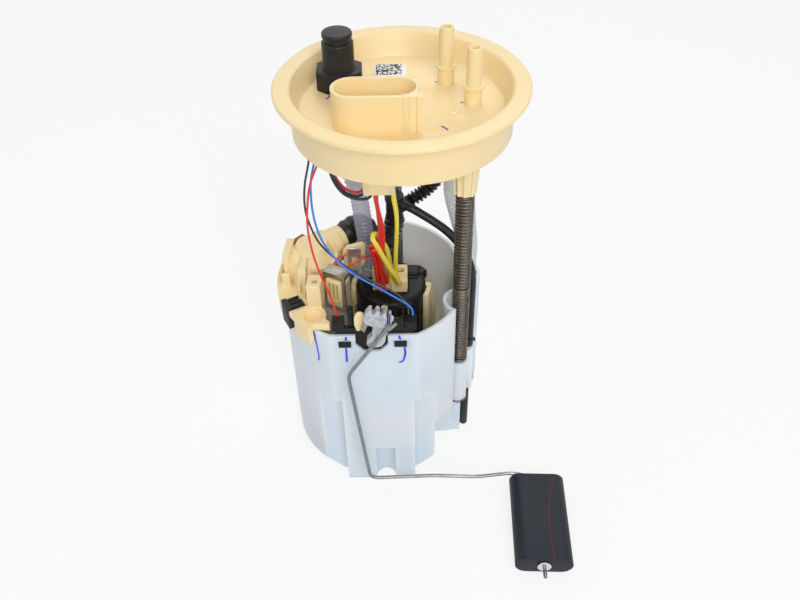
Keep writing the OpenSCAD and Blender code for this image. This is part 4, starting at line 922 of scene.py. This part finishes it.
# Points in x and z, on the pot's flat front and on its round wall left of that
marks = {
    "frontY": -54.1, "frontWidth": 1.15, "wallAxis": (-18, -6), "wallRadius": 54.05, "wallWidth": 1.1,
    "front": {"Right": [(-3.8, -122), (-3.1, -125)],
              "Rightlow": [(-0.9, -131), (-0.5, -135), (-1.2, -140), (-2.3, -142.2), (-4.2, -143.1)],
              "Middle": [(-33, -122.4), (-33.3, -125.2)], "Middlelow": [(-33.4, -131), (-33.7, -141.9)]},
    "wall": {"Left": [(-51.2, -122), (-50.8, -127), (-50.2, -134), (-49.8, -141), (-50.2, -145)],
             "FarLeft": [(-60.6, -118), (-60.4, -126), (-60, -134)]},
}
for name, points in marks["front"].items():
    spots = [(x, marks["frontY"], z) for x, z in points]
    stroke("potStroke" + name, spots, marks["frontWidth"], (0, 1, 0), "penBlue", "pot")
for name, points in marks["wall"].items():
    wallX, wallY = marks["wallAxis"]
    spots = [(x, wallY - math.sqrt(marks["wallRadius"] ** 2 - (x - wallX) ** 2), z) for x, z in points]
    outward = (spots[1][0] - wallX, spots[1][1] - wallY, 0)
    stroke("potStroke" + name, spots, marks["wallWidth"], outward, "penBlue", "pot")
floorZ = -9.27
floorStrokes = [
    [(-38.9, 5.2), (-37.5, 7.3), (-37.1, 9.4)], [(17.6, 21.3), (19.8, 22.3), (20.4, 25.6)],
    [(29.5, -1.5), (31.5, -0.6), (32.7, 1.5)], [(18.9, -23.7), (20.6, -25.4), (22.1, -27.6)]]
for i, points in enumerate(floorStrokes):
    stroke(f"floorStroke{i + 1}", [(x, y, floorZ) for x, y in points], 0.9, (0, 0, 1), "penInk", "flange")
stroke("tabStroke", [(-8.3, -58.45, -101.6), (-8.6, -58.45, -105), (-8.9, -58.45, -110)], 0.9, (0, 1, 0),
       "penInk", "arm")
floatTop = -235.45
line = [(90, -70.5), (87.2, -79), (85.2, -89), (83.8, -101), (83.3, -112), (83.4, -126.5)]
stroke("floatLine", [(x, y, floatTop) for x, y in line], 0.8, (0, 0, 1), "redLine", "float", "float_foam")
print("strokes ready")

# White label with a seeded pattern of squares that encodes nothing
label = {"low": (-14.6, 28.6, -9.34), "high": (2.6, 43.2, -9.16), "marks": ((-13.8, 30.2), (0.2, 42.2)),
             "markTop": -9.12, "markDepth": 0.06, "cell": 0.7, "dark": 0.52, "seed": 7}
labelBase = softened(bar(label["low"], label["high"]), 0.03)
dress(together("labelBase", [labelBase]), "labelWhite", "label_white", "flange")
(left, near), (right, far) = label["marks"]
cell, z = label["cell"], label["markTop"]
draw = random.Random(label["seed"])
spots, faces = [], []
for row in range(int((far - near) / cell)):
    for column in range(int((right - left) / cell)):
        if draw.random() < label["dark"]:
            x, y = left + column * cell, near + row * cell
            faces.append([len(spots) + k for k in range(4)])
            spots += [at(x, y, z), at(x + cell, y, z), at(x + cell, y + cell, z), at(x, y + cell, z)]
labelMarks = newPiece("labelMarks", spots, faces)
editAll(labelMarks)
bpy.ops.mesh.remove_doubles(threshold=0.01 * mm)
toMode("OBJECT")
thicken(labelMarks, (0, 0, -label["markDepth"]))
dress(labelMarks, "labelBlack", "label_white", "flange")
print("label ready")


# Weld beads at the foot of the bowl's wall and of both nipples, in a pale glossy cream that paints the bright
# highlight lines along them

def bead(name, centre, reach, thick):
    steps = max(24, int(reach * 3))
    route = [at(*around(centre, reach, fullTurn * i / steps), centre[2]) for i in range(steps + 1)]
    piece = sweep(name, route, lambda share, angle: thick * (0.8 + 0.2 * math.sin(90 * share)), 8)
    dress(piece, "paintedHighlightWeld", "cream_plastic", "flange")


nipples = {"supply": (23.3, 20.5), "return": (36, -2.2)}
bead("bowlBead", (0, 0, -9.25), 52.0, 0.22)
for name, (x, y) in nipples.items():
    bead(name + "Bead", (x, y, -9.2), 4.8, 0.25)

# Nipples on straight feet, and the shroud's flush front corner
for name, (x, y) in nipples.items():
    tip = cut(softCopy(name + "_nipple", name + "Tip", 0.25), bar((x - 9, y - 9, -20), (x + 9, y + 9, -0.7)))
    nipple = smooth(together(name + "Nipple", [tip, rod((x, y, -11), (x, y, -0.6), 4.45)]))
    dress(nipple, *cream, "flange", name + "_nipple")
shroudCorner = together("shroudCorner", [softened(bar((0.2, -31.47, -9.4), (3.7, -27.9, 10.9)), 0.3)])
dress(shroudCorner, *cream, "flange")

# Flutes on the front rod's socket
flute = {"axis": (32, -25), "turns": (205, 232, 262, 300), "foot": (5.9, -46.6, 0.9), "top": (8.1, -14, 1.3)}
flutes = []
for turn in flute["turns"]:
    (lowReach, low, thin), (highReach, high, thick) = flute["foot"], flute["top"]
    foot = (*around(flute["axis"], lowReach, math.radians(turn)), low)
    top = (*around(flute["axis"], highReach, math.radians(turn)), high)
    flutes.append(rod(foot, top, thin, thick, 20))
dress(smooth(together("socketFlutes", flutes), 50), *cream, "flange")
stroke("socketStroke", [(27.2, -29.5, -24), (27, -29.9, -34), (27.4, -29.6, -44)], 0.7, (-0.7, -0.7, 0),
       "penInk", "flange")
print("flange details ready")

# CAD nodes that show as they are, or lie hidden inside
keptNodes = {
    "pinBrass": ["terminals", "brush_springs"], "rodSteel": ["guide_rods", "motor_shaft"],
    "clipSteel": ["rod_clips"], "blackNylon": ["flange_barbs", "outlet_cover"],
    "blackRubber": ["foot_valve", "check_valve"], "strainerCloth": ["strainer"], "creamResin": ["jet_pump"],
    "caseSteel": ["pump_case"], "magnetGrey": ["magnets"], "windingCopper": ["armature", "commutator"],
    "castMetal": ["pump_inlet", "pump_chamber", "pump_body", "regulator_body", "regulator_valve"],
    "impellerResin": ["impeller"], "brushCarbon": ["brushes"], "filterShell": ["filter_bowl"],
    "filterPaper": ["filter_element"], "brightClip": ["wiper_springs"],
}
for finish, kept in keptNodes.items():
    for node in kept:
        nodes[node].material_slots[0].material = finishes[finish]
print("kept pieces ready")


# Studio: pale floor, soft lamps and a white surround

studio = {
    "floorZ": -250.05, "floorSize": 6, "floorTone": (0.88, 0.88, 0.88), "floorRough": 0.9, "floorShare": 0.8,
    "world": 0.43, "aim": (0, 0, -110),
    "lamps": {"keyLamp": ((250, -1000, 650), 0.8, 8.5), "fillLamp": ((-700, 150, 800), 0.9, 1.2),
              "backLamp": ((200, 600, 900), 0.9, 3.6)},
}
bpy.ops.mesh.primitive_plane_add(size=studio["floorSize"], location=at(0, 0, studio["floorZ"]))
floor = bpy.context.object
floor.name = "studioFloor"
settle(floor)


def mathOf(tree, operation, first, second):
    return nodeOf(tree, "Math", {0: first, 1: second}, operation=operation).outputs[0]


def seenShare(tree):  # 1 where the camera looks, straight, mirrored or through a wall
    path = nodeOf(tree, "LightPath", {}).outputs
    seen = mathOf(tree, "MAXIMUM", path["Is Camera Ray"], path["Is Glossy Ray"])
    return mathOf(tree, "MAXIMUM", seen, path["Is Transmission Ray"])


floorFinish = bpy.data.materials.new("studioWhite")
floorFinish.use_nodes = True
tree = floorFinish.node_tree
shader = tree.nodes["Principled BSDF"]
feed(tree, shader.inputs["Base Color"], studio["floorTone"])
feed(tree, shader.inputs["Roughness"], studio["floorRough"])
glow = nodeOf(tree, "Emission", {})
share = mathOf(tree, "MULTIPLY", seenShare(tree), studio["floorShare"])
blend = nodeOf(tree, "MixShader", {0: share, 1: shader.outputs[0], 2: glow.outputs[0]})
tree.links.new(blend.outputs[0], tree.nodes["Material Output"].inputs["Surface"])
floor.data.materials.append(floorFinish)

world = bpy.data.worlds.new("studioWorld")
bpy.context.scene.world = world
world.use_nodes = True
tree = world.node_tree
sky = tree.nodes["Background"]
sky.inputs["Color"].default_value = (1, 1, 1, 1)
strength = spreadOf(tree, seenShare(tree), studio["world"], 1, start=0, end=1)
tree.links.new(strength, sky.inputs["Strength"])

for name, (place, size, power) in studio["lamps"].items():
    bpy.ops.object.light_add(type="AREA", location=at(*place))
    lamp = bpy.context.object
    lamp.name = name
    lamp.data.size = size
    lamp.data.energy = power
    lamp.rotation_euler = (at(*studio["aim"]) - lamp.location).to_track_quat("-Z", "Y").to_euler()
bpy.context.scene.view_settings.view_transform = "Standard"
print("studio ready")
